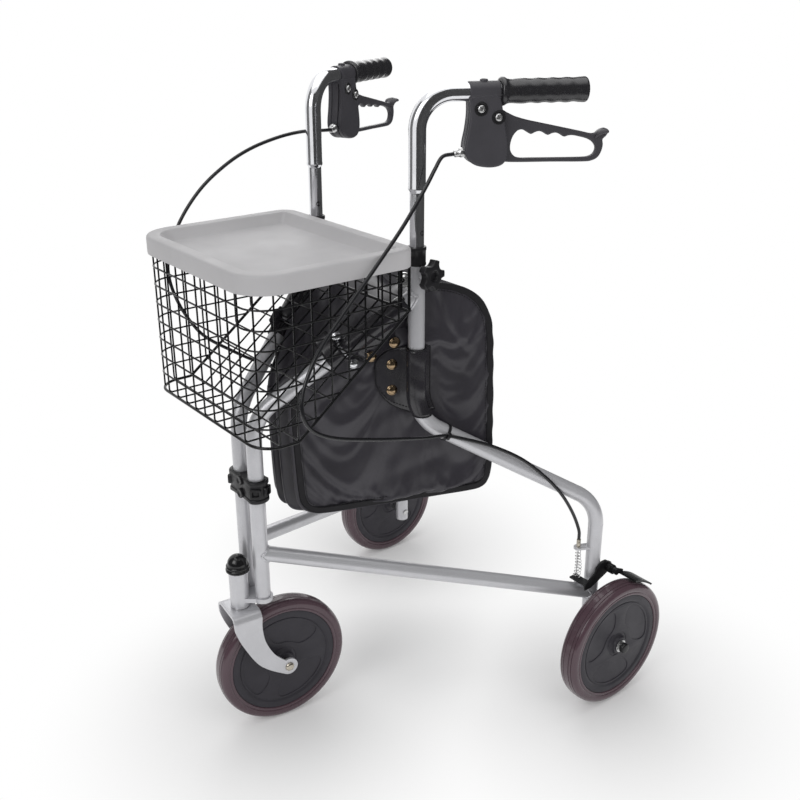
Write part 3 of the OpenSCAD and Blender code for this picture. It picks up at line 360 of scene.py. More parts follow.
def piece(name, shape, surface, body, stands_for=(), sharp=40, ride=True):
    """A mesh object that rides on a CAD body and takes the place of CAD nodes."""
    points, faces = shape
    mesh = plain_mesh(name, np.asarray(points) * MM, faces)
    mesh.validate()
    form = bmesh.new()
    form.from_mesh(mesh)
    bmesh.ops.remove_doubles(form, verts=form.verts, dist=1e-6)
    bmesh.ops.recalc_face_normals(form, faces=form.faces)
    form.to_mesh(mesh)
    form.free()
    mesh.polygons.foreach_set("use_smooth", [True] * len(mesh.polygons))
    mesh.set_sharp_from_angle(angle=math.radians(sharp))
    mesh.materials.append(surface)
    obj = put(name, mesh)
    if ride:
        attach(obj, body)
    if stands_for:
        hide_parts(*stands_for)
    return obj


def for_side(side, shape):
    """A left shape as it is on that side."""
    return shape if side == "left" else mirrored(shape)


def both(name, shape, surface, body, stands_for=(), sharp=40):
    """A left piece and its mirror image. Names of bodies and nodes are given without their side."""
    return [
        piece(f"{s}_{name}", for_side(s, shape), surface, f"{s}_{body}", [f"{s}_{n}" for n in stands_for], sharp)
        for s in SIDES
    ]


def give_thickness(obj, thick):
    """Sheet thickness for a piece drawn as a surface."""
    solid = obj.modifiers.new("thickness", "SOLIDIFY")
    solid.thickness, solid.offset = thick * MM, 0


def round_edges(obj, width):
    rim = obj.modifiers.new("rounded_edges", "BEVEL")
    rim.width, rim.segments, rim.limit_method, rim.angle_limit = width * MM, 3, "ANGLE", math.radians(50)
    rim.harden_normals = False


# Finishes


def node_group(name, inputs, outputs):
    tree = bpy.data.node_groups.new(name, "ShaderNodeTree")
    for label, kind, value in inputs:
        socket = tree.interface.new_socket(name=label, in_out="INPUT", socket_type=kind)
        socket.default_value = value
    for label, kind in outputs:
        tree.interface.new_socket(name=label, in_out="OUTPUT", socket_type=kind)
    return tree, tree.nodes.new("NodeGroupInput"), tree.nodes.new("NodeGroupOutput")


def add(tree, kind, settings=None, **values):
    node = tree.nodes.new(kind)
    for key, value in (settings or {}).items():
        setattr(node, key, value)
    for key, value in values.items():
        node.inputs[key.replace("_", " ")].default_value = value
    return node


def wire(tree, *joins):
    """Links between nodes, each as (node, output, node, input)."""
    for source, out, target, into in joins:
        tree.links.new(source.outputs[out], target.inputs[into])


FLOAT, COLOR = "NodeSocketFloat", "NodeSocketColor"
MIX_A, MIX_B, MIXED = 6, 7, 2  # the colour sockets of a Mix node


def make_tone_drift():
    """Slow changes of tone over a surface, and a mask that drives its roughness."""
    tree, source, out = node_group(
        "tone_drift", [("Color", COLOR, (1, 1, 1, 1)), ("Amount", FLOAT, 0.1), ("Scale", FLOAT, 40.0)],
        [("Color", COLOR), ("Mask", FLOAT)])
    place = add(tree, "ShaderNodeTexCoord")
    noise = add(tree, "ShaderNodeTexNoise", Detail=5.0, Roughness=0.6)
    spread = add(tree, "ShaderNodeMapRange", From_Min=0.3, From_Max=0.7)
    depth = add(tree, "ShaderNodeMath", {"operation": "MULTIPLY"})
    keep = add(tree, "ShaderNodeMath", {"operation": "SUBTRACT"})
    keep.inputs[0].default_value = 1.0
    mix = add(tree, "ShaderNodeMix", {"data_type": "RGBA", "blend_type": "MULTIPLY"})
    mix.inputs["Factor"].default_value = 1.0
    wire(tree, (place, "Object", noise, "Vector"), (source, "Scale", noise, "Scale"), (noise, "Fac", spread, "Value"),
         (spread, "Result", depth, 0), (source, "Amount", depth, 1), (depth, 0, keep, 1),
         (source, "Color", mix, MIX_A), (keep, 0, mix, MIX_B), (mix, MIXED, out, "Color"),
         (spread, "Result", out, "Mask"))
    return tree


def make_fine_grain():
    """The fine texture of paint, moulded plastic or rubber."""
    tree, source, out = node_group("fine_grain", [("Scale", FLOAT, 1500.0)], [("Height", FLOAT)])
    place = add(tree, "ShaderNodeTexCoord")
    noise = add(tree, "ShaderNodeTexNoise", Detail=2.0)
    wire(tree, (place, "Object", noise, "Vector"), (source, "Scale", noise, "Scale"), (noise, "Fac", out, "Height"))
    return tree


def make_weave():
    """Threads of a plain weave, along the height and across it."""
    tree, source, out = node_group("weave", [("Threads", FLOAT, 260.0)], [("Height", FLOAT)])
    place = add(tree, "ShaderNodeTexCoord")
    warp = add(tree, "ShaderNodeTexWave", {"bands_direction": "Z"}, Distortion=0.6, Detail=1.0)
    weft = add(tree, "ShaderNodeTexWave", {"bands_direction": "DIAGONAL"}, Distortion=0.6, Detail=1.0)
    high = add(tree, "ShaderNodeMath", {"operation": "MAXIMUM"})
    for slot, wave in enumerate((warp, weft)):
        wire(tree, (place, "Object", wave, "Vector"), (source, "Threads", wave, "Scale"), (wave, "Fac", high, slot))
    wire(tree, (high, 0, out, "Height"))
    return tree


def make_speckle():
    """Pale flecks, as in pressed rubber or sparkling paint."""
    tree, source, out = node_group(
        "speckle", [("Scale", FLOAT, 900.0), ("Base", COLOR, (0, 0, 0, 1)), ("Fleck", COLOR, (1, 1, 1, 1)),
                    ("Cover", FLOAT, 0.1)], [("Color", COLOR)])
    place = add(tree, "ShaderNodeTexCoord")
    cells = add(tree, "ShaderNodeTexVoronoi")
    cut = add(tree, "ShaderNodeMath", {"operation": "LESS_THAN"})
    split = add(tree, "ShaderNodeSeparateColor")
    mix = add(tree, "ShaderNodeMix", {"data_type": "RGBA"})
    wire(tree, (place, "Object", cells, "Vector"), (source, "Scale", cells, "Scale"), (cells, "Color", split, "Color"),
         (split, "Red", cut, 0), (source, "Cover", cut, 1), (cut, 0, mix, "Factor"), (source, "Base", mix, MIX_A),
         (source, "Fleck", mix, MIX_B), (mix, MIXED, out, "Color"))
    return tree


TONE_DRIFT, FINE_GRAIN, WEAVE, SPECKLE = make_tone_drift(), make_fine_grain(), make_weave(), make_speckle()


def use(tree, group, **values):
    node = tree.nodes.new("ShaderNodeGroup")
    node.node_tree = group
    for key, value in values.items():
        node.inputs[key].default_value = value
    return node


def finish(name, color, rough, spread=0.06, metal=0.0, tone=0.12, tone_scale=35.0, grain=1400.0, bump=0.05,
           bump_mm=0.05, coat=0.0, coat_rough=0.1, sheen=0.0, specular=0.5, flecks=None, weave=None):
    """A procedural surface: drifting tone, fine grain, and flecks or a weave where it has them."""
    mat = bpy.data.materials.new(name)
    mat.use_nodes = True
    tree = mat.node_tree
    shader = tree.nodes["Principled BSDF"]
    for socket, value in (("Metallic", metal), ("Coat Weight", coat), ("Coat Roughness", coat_rough),
                          ("Sheen Weight", sheen), ("Specular IOR Level", specular)):
        shader.inputs[socket].default_value = value
    drift = use(tree, TONE_DRIFT, Color=(*color, 1), Amount=tone, Scale=tone_scale)
    if flecks:
        fleck_color, fleck_scale, cover = flecks
        spots = use(tree, SPECKLE, Scale=fleck_scale, Base=(*color, 1), Fleck=(*fleck_color, 1), Cover=cover)
        wire(tree, (spots, "Color", drift, "Color"))
    gloss = add(tree, "ShaderNodeMapRange", To_Min=rough - spread, To_Max=rough + spread)
    relief = add(tree, "ShaderNodeBump", Strength=bump, Distance=bump_mm * MM)
    texture = use(tree, WEAVE, Threads=weave) if weave else use(tree, FINE_GRAIN, Scale=grain)
    wire(tree, (drift, "Color", shader, "Base Color"), (drift, "Mask", gloss, "Value"),
         (gloss, "Result", shader, "Roughness"), (texture, "Height", relief, "Height"),
         (relief, "Normal", shader, "Normal"))
    return mat


SILVER_PAINT = finish("silver_paint", (0.56, 0.56, 0.585), 0.34, metal=0.42, tone=0.06, bump=0.08, grain=2600.0,
                      flecks=((0.62, 0.62, 0.64), 2600.0, 0.25), coat=0.25, coat_rough=0.25)
CHROME = finish("bright_chrome", (0.78, 0.785, 0.81), 0.12, spread=0.03, metal=1.0, tone=0.05, bump=0.02)
ZINC = finish("zinc_plate", (0.66, 0.66, 0.66), 0.28, metal=1.0, tone=0.2, tone_scale=90.0)
BRASS = finish("aged_brass", (0.40, 0.29, 0.18), 0.18, metal=1.0, tone=0.2, tone_scale=60.0)
NICKEL = finish("dull_nickel", (0.62, 0.57, 0.48), 0.3, metal=1.0, tone=0.25, tone_scale=120.0)
BLACK_PLASTIC = finish("black_plastic", (0.013, 0.0125, 0.0145), 0.36, tone=0.2, bump=0.12, specular=0.38)
GLOSS_BLACK = finish("gloss_black", (0.008, 0.008, 0.009), 0.18, spread=0.04, tone=0.15, bump=0.02, specular=0.5)
CHARCOAL = finish("charcoal_plastic", (0.055, 0.053, 0.061), 0.4, tone=0.16, bump=0.25, grain=2200.0, bump_mm=0.08,
                  specular=0.3)
HUB_PLASTIC = finish("hub_plastic", (0.034, 0.0315, 0.0395), 0.42, tone=0.16, bump=0.2, grain=1800.0, specular=0.3)
GRIP_RUBBER = finish("grip_rubber", (0.017, 0.0165, 0.0195), 0.26, tone=0.25, tone_scale=80.0, bump=0.3, grain=1100.0,
                     bump_mm=0.2, specular=0.65, flecks=((0.03, 0.03, 0.033), 900.0, 0.1))
TYRE = finish("tyre_rubber", (0.088, 0.053, 0.066), 0.26, spread=0.05, tone=0.14, tone_scale=22.0, bump=0.015,
              coat=0.5, coat_rough=0.06, specular=0.25)
TRAY_PLASTIC = finish("tray_plastic", (0.455, 0.448, 0.458), 0.55, tone=0.05, tone_scale=18.0, bump=0.18, grain=1100.0,
                      bump_mm=0.08)
BLACK_WIRE = finish("dipped_wire", (0.006, 0.006, 0.0068), 0.18, tone=0.2, bump=0.04, specular=0.32)
BLACK_STEEL = finish("black_steel", (0.010, 0.010, 0.011), 0.36, tone=0.25, bump=0.1, specular=0.3)
SHEATH = finish("cable_sheath", (0.012, 0.012, 0.014), 0.22, tone=0.15, bump=0.03, specular=0.5)
BAG_CLOTH = finish("bag_cloth", (0.0290, 0.0260, 0.0350), 0.4, spread=0.07, tone=0.25, tone_scale=16.0, bump=0.1,
                   bump_mm=0.12, sheen=0.06, specular=0.55, weave=260.0)
BAG_BINDING = finish("bag_binding", (0.014, 0.0132, 0.0155), 0.55, tone=0.2, bump=0.3, bump_mm=0.15, specular=0.25,
                     weave=420.0)
BAG_LEATHER = finish("bag_leather", (0.022, 0.0204, 0.0252), 0.2, spread=0.07, tone=0.3, tone_scale=60.0, bump=0.22,
                     grain=420.0, bump_mm=0.2, specular=0.62)

# CAD nodes that stay in view
NODE_FINISH = {
    SILVER_PAINT: ("front_tube", "rear_tube", "lower_bar", "cable_stop", "head_bracket"),
    ZINC: ("head_fasteners", "stem_bearings", "kingpin", "pull_wire", "basket_stud"),
    BLACK_PLASTIC: ("cable_tie",),
    BLACK_STEEL: ("brake_pivot", "brake_arm"),
}
for surface, plain_names in NODE_FINISH.items():
    for plain in plain_names:
        for name in (plain, "left_" + plain, "right_" + plain):
            if name in nodes:
                nodes[name].data.materials.clear()
                nodes[name].data.materials.append(surface)


# Camera, light and floor

CARD_REACH = 1.3
FLOOR_HALF = 12.0
MATT = 0.9


def set_camera():
    camera = bpy.data.cameras.new("photo_camera")
    camera.lens, camera.sensor_width = 46.06, 36.0
    camera.clip_end = 50
    right, up, ahead = ((0.61194, 0.79090, -0.00171), (-0.30251, 0.23605, 0.92345), (-0.73076, 0.56458, -0.38370))
    turned = Matrix((right, up, [-a for a in ahead])).transposed().to_4x4()
    eye = put("photo_camera", camera)
    eye.matrix_world = Matrix.Translation((1.12539, -0.84700, 1.04410)) @ turned
    bpy.context.scene.camera = eye
    bpy.context.scene.view_settings.view_transform = "Standard"


def set_lamps():
    aim = Vector((0, 0, 0.45))
    for name, place, size, power in (
        ("overhead", (-0.2, 0.2, 2.9), 2.6, 18),
        ("key", (0.6, -2.6, 2.2), 1.6, 22),
        ("fill", (2.7, 0.6, 1.5), 1.8, 15),
        ("back", (-2.2, 1.6, 1.8), 1.6, 12),
    ):
        lamp = bpy.data.lights.new(name, "AREA")
        lamp.shape, lamp.size, lamp.energy = "SQUARE", size, power
        obj = put(name, lamp)
        obj.location = place
        obj.rotation_mode = "QUATERNION"
        obj.rotation_quaternion = (aim - obj.location).to_track_quat("-Z", "Y")


def set_surround():
    """A dim white surround for diffuse light, and a full white one for all that is seen or mirrored."""
    world = bpy.data.worlds.new("studio")
    bpy.context.scene.world = world
    world.use_nodes = True
    tree = world.node_tree
    lit, seen = tree.nodes["Background"], add(tree, "ShaderNodeBackground")
    lit.inputs["Strength"].default_value = 0.42
    for background in (lit, seen):
        background.inputs["Color"].default_value = (1, 1, 1, 1)
    path = add(tree, "ShaderNodeLightPath")
    either = add(tree, "ShaderNodeMath", {"operation": "ADD"})
    any_of = add(tree, "ShaderNodeMath", {"operation": "ADD", "use_clamp": True})
    mix = add(tree, "ShaderNodeMixShader")
    wire(tree, (path, "Is Camera Ray", either, 0), (path, "Is Glossy Ray", either, 1), (either, 0, any_of, 0),
         (path, "Is Transmission Ray", any_of, 1), (any_of, 0, mix, "Fac"), (lit, "Background", mix, 1),
         (seen, "Background", mix, 2), (mix, "Shader", tree.nodes["World Output"], "Surface"))


def matt_look(name, grey):
    """A plain matt surface for the studio."""
    look = bpy.data.materials.new(name)
    look.use_nodes = True
    shader = look.node_tree.nodes["Principled BSDF"]
    shader.inputs["Base Color"].default_value = (grey, grey, grey, 1)
    shader.inputs["Roughness"].default_value = MATT
    return look


def set_cards():
    """Dark cards that only reflections see, as a studio sets up for bright metal."""
    for k, (start, end, low, high, grey) in enumerate((
        (-49, 126, 0.005, 2.2, 0.05), (-97, -49, 0.005, 0.56, 0.06), (-140, -97, 0.005, 2.2, 0.2),
    )):
        bearings = np.linspace(start, end, 16)
        rows = np.array([[(*polar(CARD_REACH, a), z) for a in bearings] for z in (low, high)])
        mesh = plain_mesh(f"dark_card_{k}", *grid(rows))
        mesh.materials.append(matt_look(f"dark_card_{k}", grey))
        card = put(f"dark_card_{k}", mesh)
        card.visible_camera = card.visible_diffuse = card.visible_shadow = card.visible_transmission = False


def set_floor():
    """A pale floor that fades into the white surround away from the wheels and from the middle."""
    ground = matt_look("pale_floor", 0.985)
    tree = ground.node_tree
    shader = tree.nodes["Principled BSDF"]
    glow = add(tree, "ShaderNodeEmission", Strength=1.0)
    glow.inputs["Color"].default_value = (1, 1, 1, 1)
    place = add(tree, "ShaderNodeNewGeometry")
    wheels = [FRONT_CENTRE, np.array([WHEEL_X, REAR_Y, 0]), np.array([-WHEEL_X, REAR_Y, 0])]
    nearest = None
    for spot, spare in [(np.zeros(3), 0.04)] + [(wheel * MM, 0.0) for wheel in wheels]:
        reach = add(tree, "ShaderNodeVectorMath", {"operation": "DISTANCE"})
        reach.inputs[1].default_value = (spot[0], spot[1], 0)
        shift = add(tree, "ShaderNodeMath", {"operation": "ADD"})
        shift.inputs[1].default_value = spare
        wire(tree, (place, "Position", reach, 0), (reach, "Value", shift, 0))
        if nearest is None:
            nearest = shift
        else:
            least = add(tree, "ShaderNodeMath", {"operation": "SMOOTH_MIN"})
            least.inputs[2].default_value = 0.08
            wire(tree, (nearest, 0, least, 0), (shift, 0, least, 1))
            nearest = least
    fade = add(tree, "ShaderNodeMapRange", From_Min=0.02, From_Max=0.39, To_Min=0.1)
    fade.interpolation_type = "SMOOTHSTEP"
    mix = add(tree, "ShaderNodeMixShader")
    wire(tree, (nearest, 0, fade, "Value"), (fade, "Result", mix, "Fac"), (shader, "BSDF", mix, 1),
         (glow, "Emission", mix, 2), (mix, "Shader", tree.nodes["Material Output"], "Surface"))
    half = FLOOR_HALF
    mesh = plain_mesh("floor", [(-half, -half, 0), (half, -half, 0), (half, half, 0), (-half, half, 0)], [[0, 1, 2, 3]])
    mesh.materials.append(ground)
    floor = put("floor", mesh)


set_camera()
set_lamps()
set_surround()
set_cards()
set_floor()


# Brake cables

CABLE_D = 5.0
LEFT_SWEEP = [
    [132, -12, 834], [137, -28, 821], [144, -46, 805], [150, -70, 782], [154, -96, 756], [160, -143, 714],
    [167, -189, 675], [173, -222, 647], [178, -245, 622], [181, -259, 597], [183, -264, 574], [184, -259, 554],
    [183, -243, 537], [180, -210, 520], [172, -150, 499], [160, -95, 480], [149, -47, 464],
]
RIGHT_SWEEP = [
    [134, -16, 838], [141, -45, 838], [151, -78, 832], [165, -116, 818], [178, -150, 797], [190, -186, 765],
    [197, -218, 722], [200, -238, 674], [199, -240, 641], [196, -231, 606], [190, -217, 576], [182, -199, 551],
    [172, -165, 526], [161, -128, 503], [152, -80, 482], [147, -42, 466],
]
DIAGONAL_RUN = [
    [147, -13, 457], [156, 7, 451], [175, 47, 435], [195, 87, 411], [210, 119, 381], [221, 146, 348],
    [225, 170, 310], [227, 185, 276],
]
CABLE_START = on_frame(269.31, 0, 836.84)
CABLE_END = on_frame(475.73, 0, 259.5)


def make_cables():
    for s, free in zip(SIDES, (LEFT_SWEEP, RIGHT_SWEEP)):
        route = np.array([CABLE_START, *free, *DIAGONAL_RUN, CABLE_END], float)
        if s == "right":
            route = route * (-1, 1, 1)
        line = spline(route, 8)
        obj = piece(f"{s}_cable", rod(line, CABLE_D / 2, 14), SHEATH, f"{s}_frame", ride=False)
        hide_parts(f"{s}_brake_cable")
        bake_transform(obj)


make_cables()


# Wheels

TYRE_HALF = [
    (100.0, 0.0), (100.0, 4.1), (99.2, 4.4), (99.2, 5.0), (99.8, 5.3), (99.3, 8.7), (98.3, 9.0), (98.3, 9.6),
    (98.9, 9.9), (98.0, 12.2), (96.6, 13.7), (94.6, 14.8), (92.6, 15.4), (90.4, 15.5), (88.4, 15.3), (87.2, 14.7),
    (86.6, 14.1), (85.8, 14.5), (84.6, 14.8), (83.2, 14.6), (82.3, 13.9), (82.0, 13.0),
]
HUB_HALF = [
    (4.2, 18.0), (12.4, 18.0), (13.5, 17.3), (13.9, 16.0), (14.9, 13.6), (17.4, 11.9), (21.0, 11.0), (66.0, 11.0),
    (69.5, 11.2), (71.6, 12.6), (73.0, 13.4), (74.2, 13.6), (80.4, 13.6), (81.5, 13.3), (81.94, 12.6),
]
POCKET = [
    (66, -34), (66, -17), (66, 0), (66, 17), (66, 34), (62.5, 41), (54, 44), (44, 43), (36, 39), (31, 28), (30, 0),
    (31, -28), (36, -39), (44, -43), (54, -44), (62.5, -41),
]
POCKET_MIDDLES = (29, 144, 257)
FRONT_TURN = 43
HUB_FACE_R, HUB_BOSS_R, HUB_FACE_OUT = 69.5, 19.5, 11.2


def tyre_shape(centre, axle):
    return lathe(two_faced(TYRE_HALF), centre, axle, 160, closed=True)


def hub_shape(centre, axle, across, turn):
    """A moulded hub with three shallow pockets between its spokes, on both faces."""
    turned = lathe(HUB_HALF + [(r, -a) for r, a in HUB_HALF[::-1]], centre, axle, 120, closed=True)
    pockets = [
        spline([polar(r, a + middle + turn) for r, a in POCKET], 6, closed=True) for middle in POCKET_MIDDLES
    ]
    plate = moulded(circle(HUB_FACE_R, 120), 1.7, 0.7, [*pockets, circle(HUB_BOSS_R, 60)], 2)
    return join(turned, placed(plate, centre + HUB_FACE_OUT * axle, across, UP, axle),
                placed(plate, centre - HUB_FACE_OUT * axle, -across, UP, -axle))


def make_wheels():
    axle, across = ACROSS, BACK
    centre = np.array([WHEEL_X, REAR_Y, WHEEL_R])
    both("wheel_tyre", tyre_shape(centre, axle), TYRE, "wheel", ["tyre"], 30)
    both("wheel_hub", hub_shape(centre, axle, across, 0), HUB_PLASTIC, "wheel", ["hub"], 35)
    piece("front_wheel_tyre", tyre_shape(FRONT_CENTRE, CASTER_X), TYRE, "front_wheel", ["front_tyre"], 30)
    piece("front_wheel_hub", hub_shape(FRONT_CENTRE, CASTER_X, CASTER_Y, FRONT_TURN), HUB_PLASTIC, "front_wheel",
          ["front_hub"], 35)

    cap = [(0, 26.5), (4.4, 26.5), (4.4, 22.6), (7.4, 22.6), (7.9, 23.2), (7.7, 28.2), (7.1, 29.2), (5.9, 29.7),
           (0, 29.8)]
    washer = [(4.2, 18.35), (9.7, 18.35), (10.0, 18.7), (10.0, 19.6), (9.6, 20.0), (4.2, 20.0)]
    both("axle_cap", lathe(cap, centre, axle, 48), BLACK_PLASTIC, "frame")
    leg = LEG_X - WHEEL_X
    shaft = [(0, leg - 12.6), (4.6, leg - 12.6), (5.4, leg - 12.0), (5.4, leg - 11.2), (4.0, leg - 11.2),
             (4.0, leg + 11.4), (6.5, leg + 11.4), (6.5, -18.3), (4.0, -18.3), (4.0, 26.3), (0, 26.3)]
    nut = placed(moulded(circle(7.6, 6), 3.2, 0.3), centre + 21.5 * axle, across, UP, axle)
    axle_shape = join(lathe(shaft, centre, axle, 40), lathe(washer, centre, axle, 48, closed=True), nut)
    both("wheel_axle", axle_shape, ZINC, "frame", ["rear_axle"])
    plug = [(0, 81.6), (8.6, 81.6), (10.4, 82.0), (11.3, 83.0), (11.3, 83.9), (9.4, 83.9), (9.4, 90), (0, 90)]
    both("leg_plug", lathe(plug, on_frame(LEG_U, 0, 0), UP, 40), BLACK_PLASTIC, "frame")


make_wheels()


# Fork, stem and head

FORK_TOP = 206.5
FORK_BEND = 10.0
FORK_HALF = 30.0
FORK_SHEET = 4.0
FORK_FRONT, FORK_WIDE = -22, 42
CLAMP_R, CLAMP_Z = 15.6, 395.5


def fork_shape():
    """The middle of the fork's sheet: two curved legs joined over the wheel by a bent crown."""
    count, wide = 16, 8
    front = evened(spline([(-22, 196), (-20.5, 184), (-11, 159), (8, 124), (27, 105), (51, 89)], 8), count)
    rear = evened(spline([(20, 196), (19.2, 181), (23, 156), (36, 129), (52.5, 112)], 8), count)
    end, r = np.array([58.0, 100.0]), 13.0
    rows = list(zip(front, rear))
    for k in range(1, 8):
        turn = 118 * k / 7.15
        rows.append((end + polar(r, -122 + turn), end + polar(r, 114 - turn)))
    crown = [FORK_FRONT + FORK_WIDE * i / (wide - 1) for i in range(wide)]
    leg = []
    for f, b in rows[::-1]:
        across = [f + (b - f) * i / (wide - 1) for i in range(wide)]
        leg.append([(FORK_HALF, t, z) for t, z in across])
    bend = []
    for k in range(1, 9):
        a = math.pi / 2 * k / 8
        x, z = FORK_HALF - FORK_BEND + FORK_BEND * math.cos(a), FORK_TOP - FORK_BEND + FORK_BEND * math.sin(a)
        bend.append([(x, y, z) for y in crown])
    side = np.array(leg + bend)
    other = side[::-1] * (-1, 1, 1)
    middle = np.array([[(x, y, FORK_TOP) for y in crown] for x in (10.0, 0.0, -10.0)])
    return placed(grid(np.concatenate([side, middle, other])), STEM, CASTER_X, CASTER_Y, UP)


def make_front():
    fork = piece("wheel_fork", fork_shape(), SILVER_PAINT, "caster", ["fork"])
    give_thickness(fork, FORK_SHEET)
    round_edges(fork, 1.3)
    half = [(4.0, 0), (4.0, 18.3), (6.5, 18.3), (6.5, 27.7), (4.0, 27.7), (4.0, 32.1), (6.7, 32.1), (6.8, 32.6),
            (6.3, 34.0), (5.0, 35.3), (3.0, 36.0), (1.6, 35.7), (0, 35.6)]
    bolt = lathe(two_faced(half), FRONT_CENTRE, CASTER_X, 48)
    piece("wheel_bolt", bolt, NICKEL, "caster", ["front_axle"])

    dome = [(0, 11.4), (12, 11.4), (12, 1.05), (13.6, 1.05), (13.6, 0), (16.3, 0), (17.0, 0.7), (17.0, 3.4),
            (16.5, 4.2), (15.7, 4.5), (15.4, 5.0), (15.7, 5.5), (16.2, 5.9), (16.3, 8.2), (15.7, 9.1), (14.6, 9.5)]
    dome += [(14.3 * math.cos(a), 10.7 + 14.3 * math.sin(a)) for a in np.linspace(0.0, math.pi / 2 - 0.06, 16)]
    dome += [(0, 25.0)]
    piece("stem_dome", lathe(dome, STEM + 267.3 * UP, UP, 64), GLOSS_BLACK, "front_head", ["stem_cap"])


def make_clamp():
    """The moulded clamp round both front tubes."""
    post = HINGE[0]
    ends = [np.array([post + CLAMP_R * math.cos(a), CLAMP_R * math.sin(a)]) for a in np.linspace(-1.15, 1.15, 15)]
    waist = [np.array(q) for q in ((10, 13.0), (0, 12.6), (-10, 13.0))]
    loop = np.array([*ends, *waist, *(q * (-1, 1) for q in ends[::-1]), *(-q for q in waist)])
    bores = [circle(11.2, 40) + (x, 0) for x in (-post, post)]
    middle = HINGE * (0, 1, 0) + CLAMP_Z * UP
    parts = [placed(moulded(loop, 33, 1.6, bores), middle, ACROSS, BACK, UP)]
    for z in (-13.0, 13.0):
        band = moulded(loop * (1.035, 1.075), 6.0, 1.2, bores)
        parts.append(placed(band, middle + z * UP, ACROSS, BACK, UP))
    cover = [(6.8, 11.0), (6.9, 15.6), (6.4, 16.4), (4.4, 16.4), (3.8, 16.0), (3.4, 15.7), (0, 15.7)]
    for z in (-10, 10):
        for y in (-1, 1):
            parts.append(lathe(cover, middle + z * UP, y * BACK, 32))
    for x, a in ((post, -0.62), (post, 0.62), (-post, math.pi + 0.62), (-post, math.pi - 0.62)):
        out = np.array([math.cos(a), math.sin(a), 0])
        frame_loop = bent_loop([(-8, -7), (8, -7), (8, 7), (-8, 7)], 2.5)
        window = bent_loop([(-4.6, -3.8), (4.6, -3.8), (4.6, 3.8), (-4.6, 3.8)], 1.4)
        box = moulded(frame_loop, 5.0, 0.9, [window])
        parts.append(placed(box, middle + x * ACROSS + CLAMP_R * out, np.cross(UP, out), UP, out))
    piece("tube_clamp", join(*parts), BLACK_PLASTIC, "front_head", ["clamp_front", "clamp_back"])
    head = [(0, 33.6), (2.6, 33.6), (3.6, 34.2), (4.2, 36.2), (3.6, 37.4), (2.0, 37.9), (0, 37.9)]
    piece("clamp_screw", lathe(head, middle, -ACROSS, 28), ZINC, "front_head")


make_front()
make_clamp()


# Welds on the side frames

WELD_STEPS, WELD_RIPPLES = 56, 14


def weld_line(z0, slope, at, side):
    """Where a tube that leaves the frame's front at z0 meets an upright tube, on one side of it."""
    line = []
    for a in np.linspace(0, 2 * math.pi, WELD_STEPS, endpoint=False):
        v = TUBE_R * 0.995 * math.cos(a)
        u = at + side * math.sqrt(max(0.0, TUBE_R**2 - v**2))
        s = (u + TUBE_R * math.sin(a) * math.sin(slope)) / math.cos(slope)
        line.append(on_frame(u, v, z0 + s * math.sin(slope) + TUBE_R * math.sin(a) * math.cos(slope)))
    return line


def make_welds():
    rising, falling = math.atan(DIAG_TAN), math.atan((BAR_REAR_Z - BAR_FRONT_Z) / LEG_U)
    ripple = 1 + 0.13 * np.sin(np.arange(WELD_STEPS) * 2 * math.pi * WELD_RIPPLES / WELD_STEPS)
    beads = [
        rod(weld_line(z0, slope, at, side), 1.9, 10, True, ripple)
        for z0, slope, at, side in ((FRONT_APEX_Z, rising, REAR_U, -1), (BAR_FRONT_Z, falling, 0.0, 1),
                                    (BAR_FRONT_Z, falling, LEG_U, -1))
    ]
    both("tube_welds", join(*beads), SILVER_PAINT, "frame")


make_welds()


# Handles

PIVOT = np.array([323.0, 881.5])
CLAMP_BOLT = np.array([300.5, 892.0])
CHEEK = [
    (286.8, 906.5), (286.8, 899), (287, 884), (285, 866), (281.8, 850), (281.8, 839), (286.6, 829.6),
    (295.5, 823.4), (308, 820.4), (321, 820.2), (331, 823.6), (336.4, 832), (337.2, 843), (335.2, 858),
    (331.8, 875), (328.6, 892), (326.6, 902), (325.6, 907), (307, 908),
]
LEVER = [
    (315, 884), (319, 888.6), (325, 890.2), (331.5, 889), (338, 885.4), (349, 880.4), (364, 876), (380, 872.4),
    (410, 865.8), (436, 860), (448, 857.2), (454, 857), (460, 860), (466, 863), (471, 862), (472.8, 857.8),
    (470.4, 853), (466.2, 849), (467, 842), (465.4, 834), (461, 826.6), (453, 822.6), (441, 821.6), (397, 823),
    (353, 824), (334, 825.4), (320, 829), (309, 833), (302, 838), (301, 844), (306, 849), (311, 860),
    (313.6, 874),
]
FINGERS = [
    (356, 829.4), (348.4, 832), (343.4, 838.5), (342.8, 847), (345.8, 856.6), (351.5, 863), (358, 864.2),
    (364.5, 860.8), (369.5, 858.4), (374.5, 860.4), (380, 861.6), (385.6, 859.8), (391.6, 856.6), (397, 858.4),
    (402.4, 859), (408, 857), (413.6, 853.8), (419, 855), (425, 855.2), (434, 853.4), (444, 850.6),
    (452, 846.4), (457, 839.5), (455.4, 832.4), (449, 828.4), (438, 827.4), (397, 828.2), (372, 828.9),
]
GRIP_U = 326.5
HOLE_PITCH, HOLE_R = 26.5, 3.5
HOUSING_U, ADJUST_TILT, ADJUST_Z = 287.0, 9.0, 839.5
SWAGE_Z, SLIDE_BOTTOM, SLIDE_R, HANDLE_R, HANDLE_END = 797.0, 580.0, 9.4, 11.1, 436.5
KNOB_Z = 687.0
KNOB_OUT = np.array([*polar(1.0, 90 - 79.75), 0])
GRIP_WAVES = (30.0, 19.0, 4)


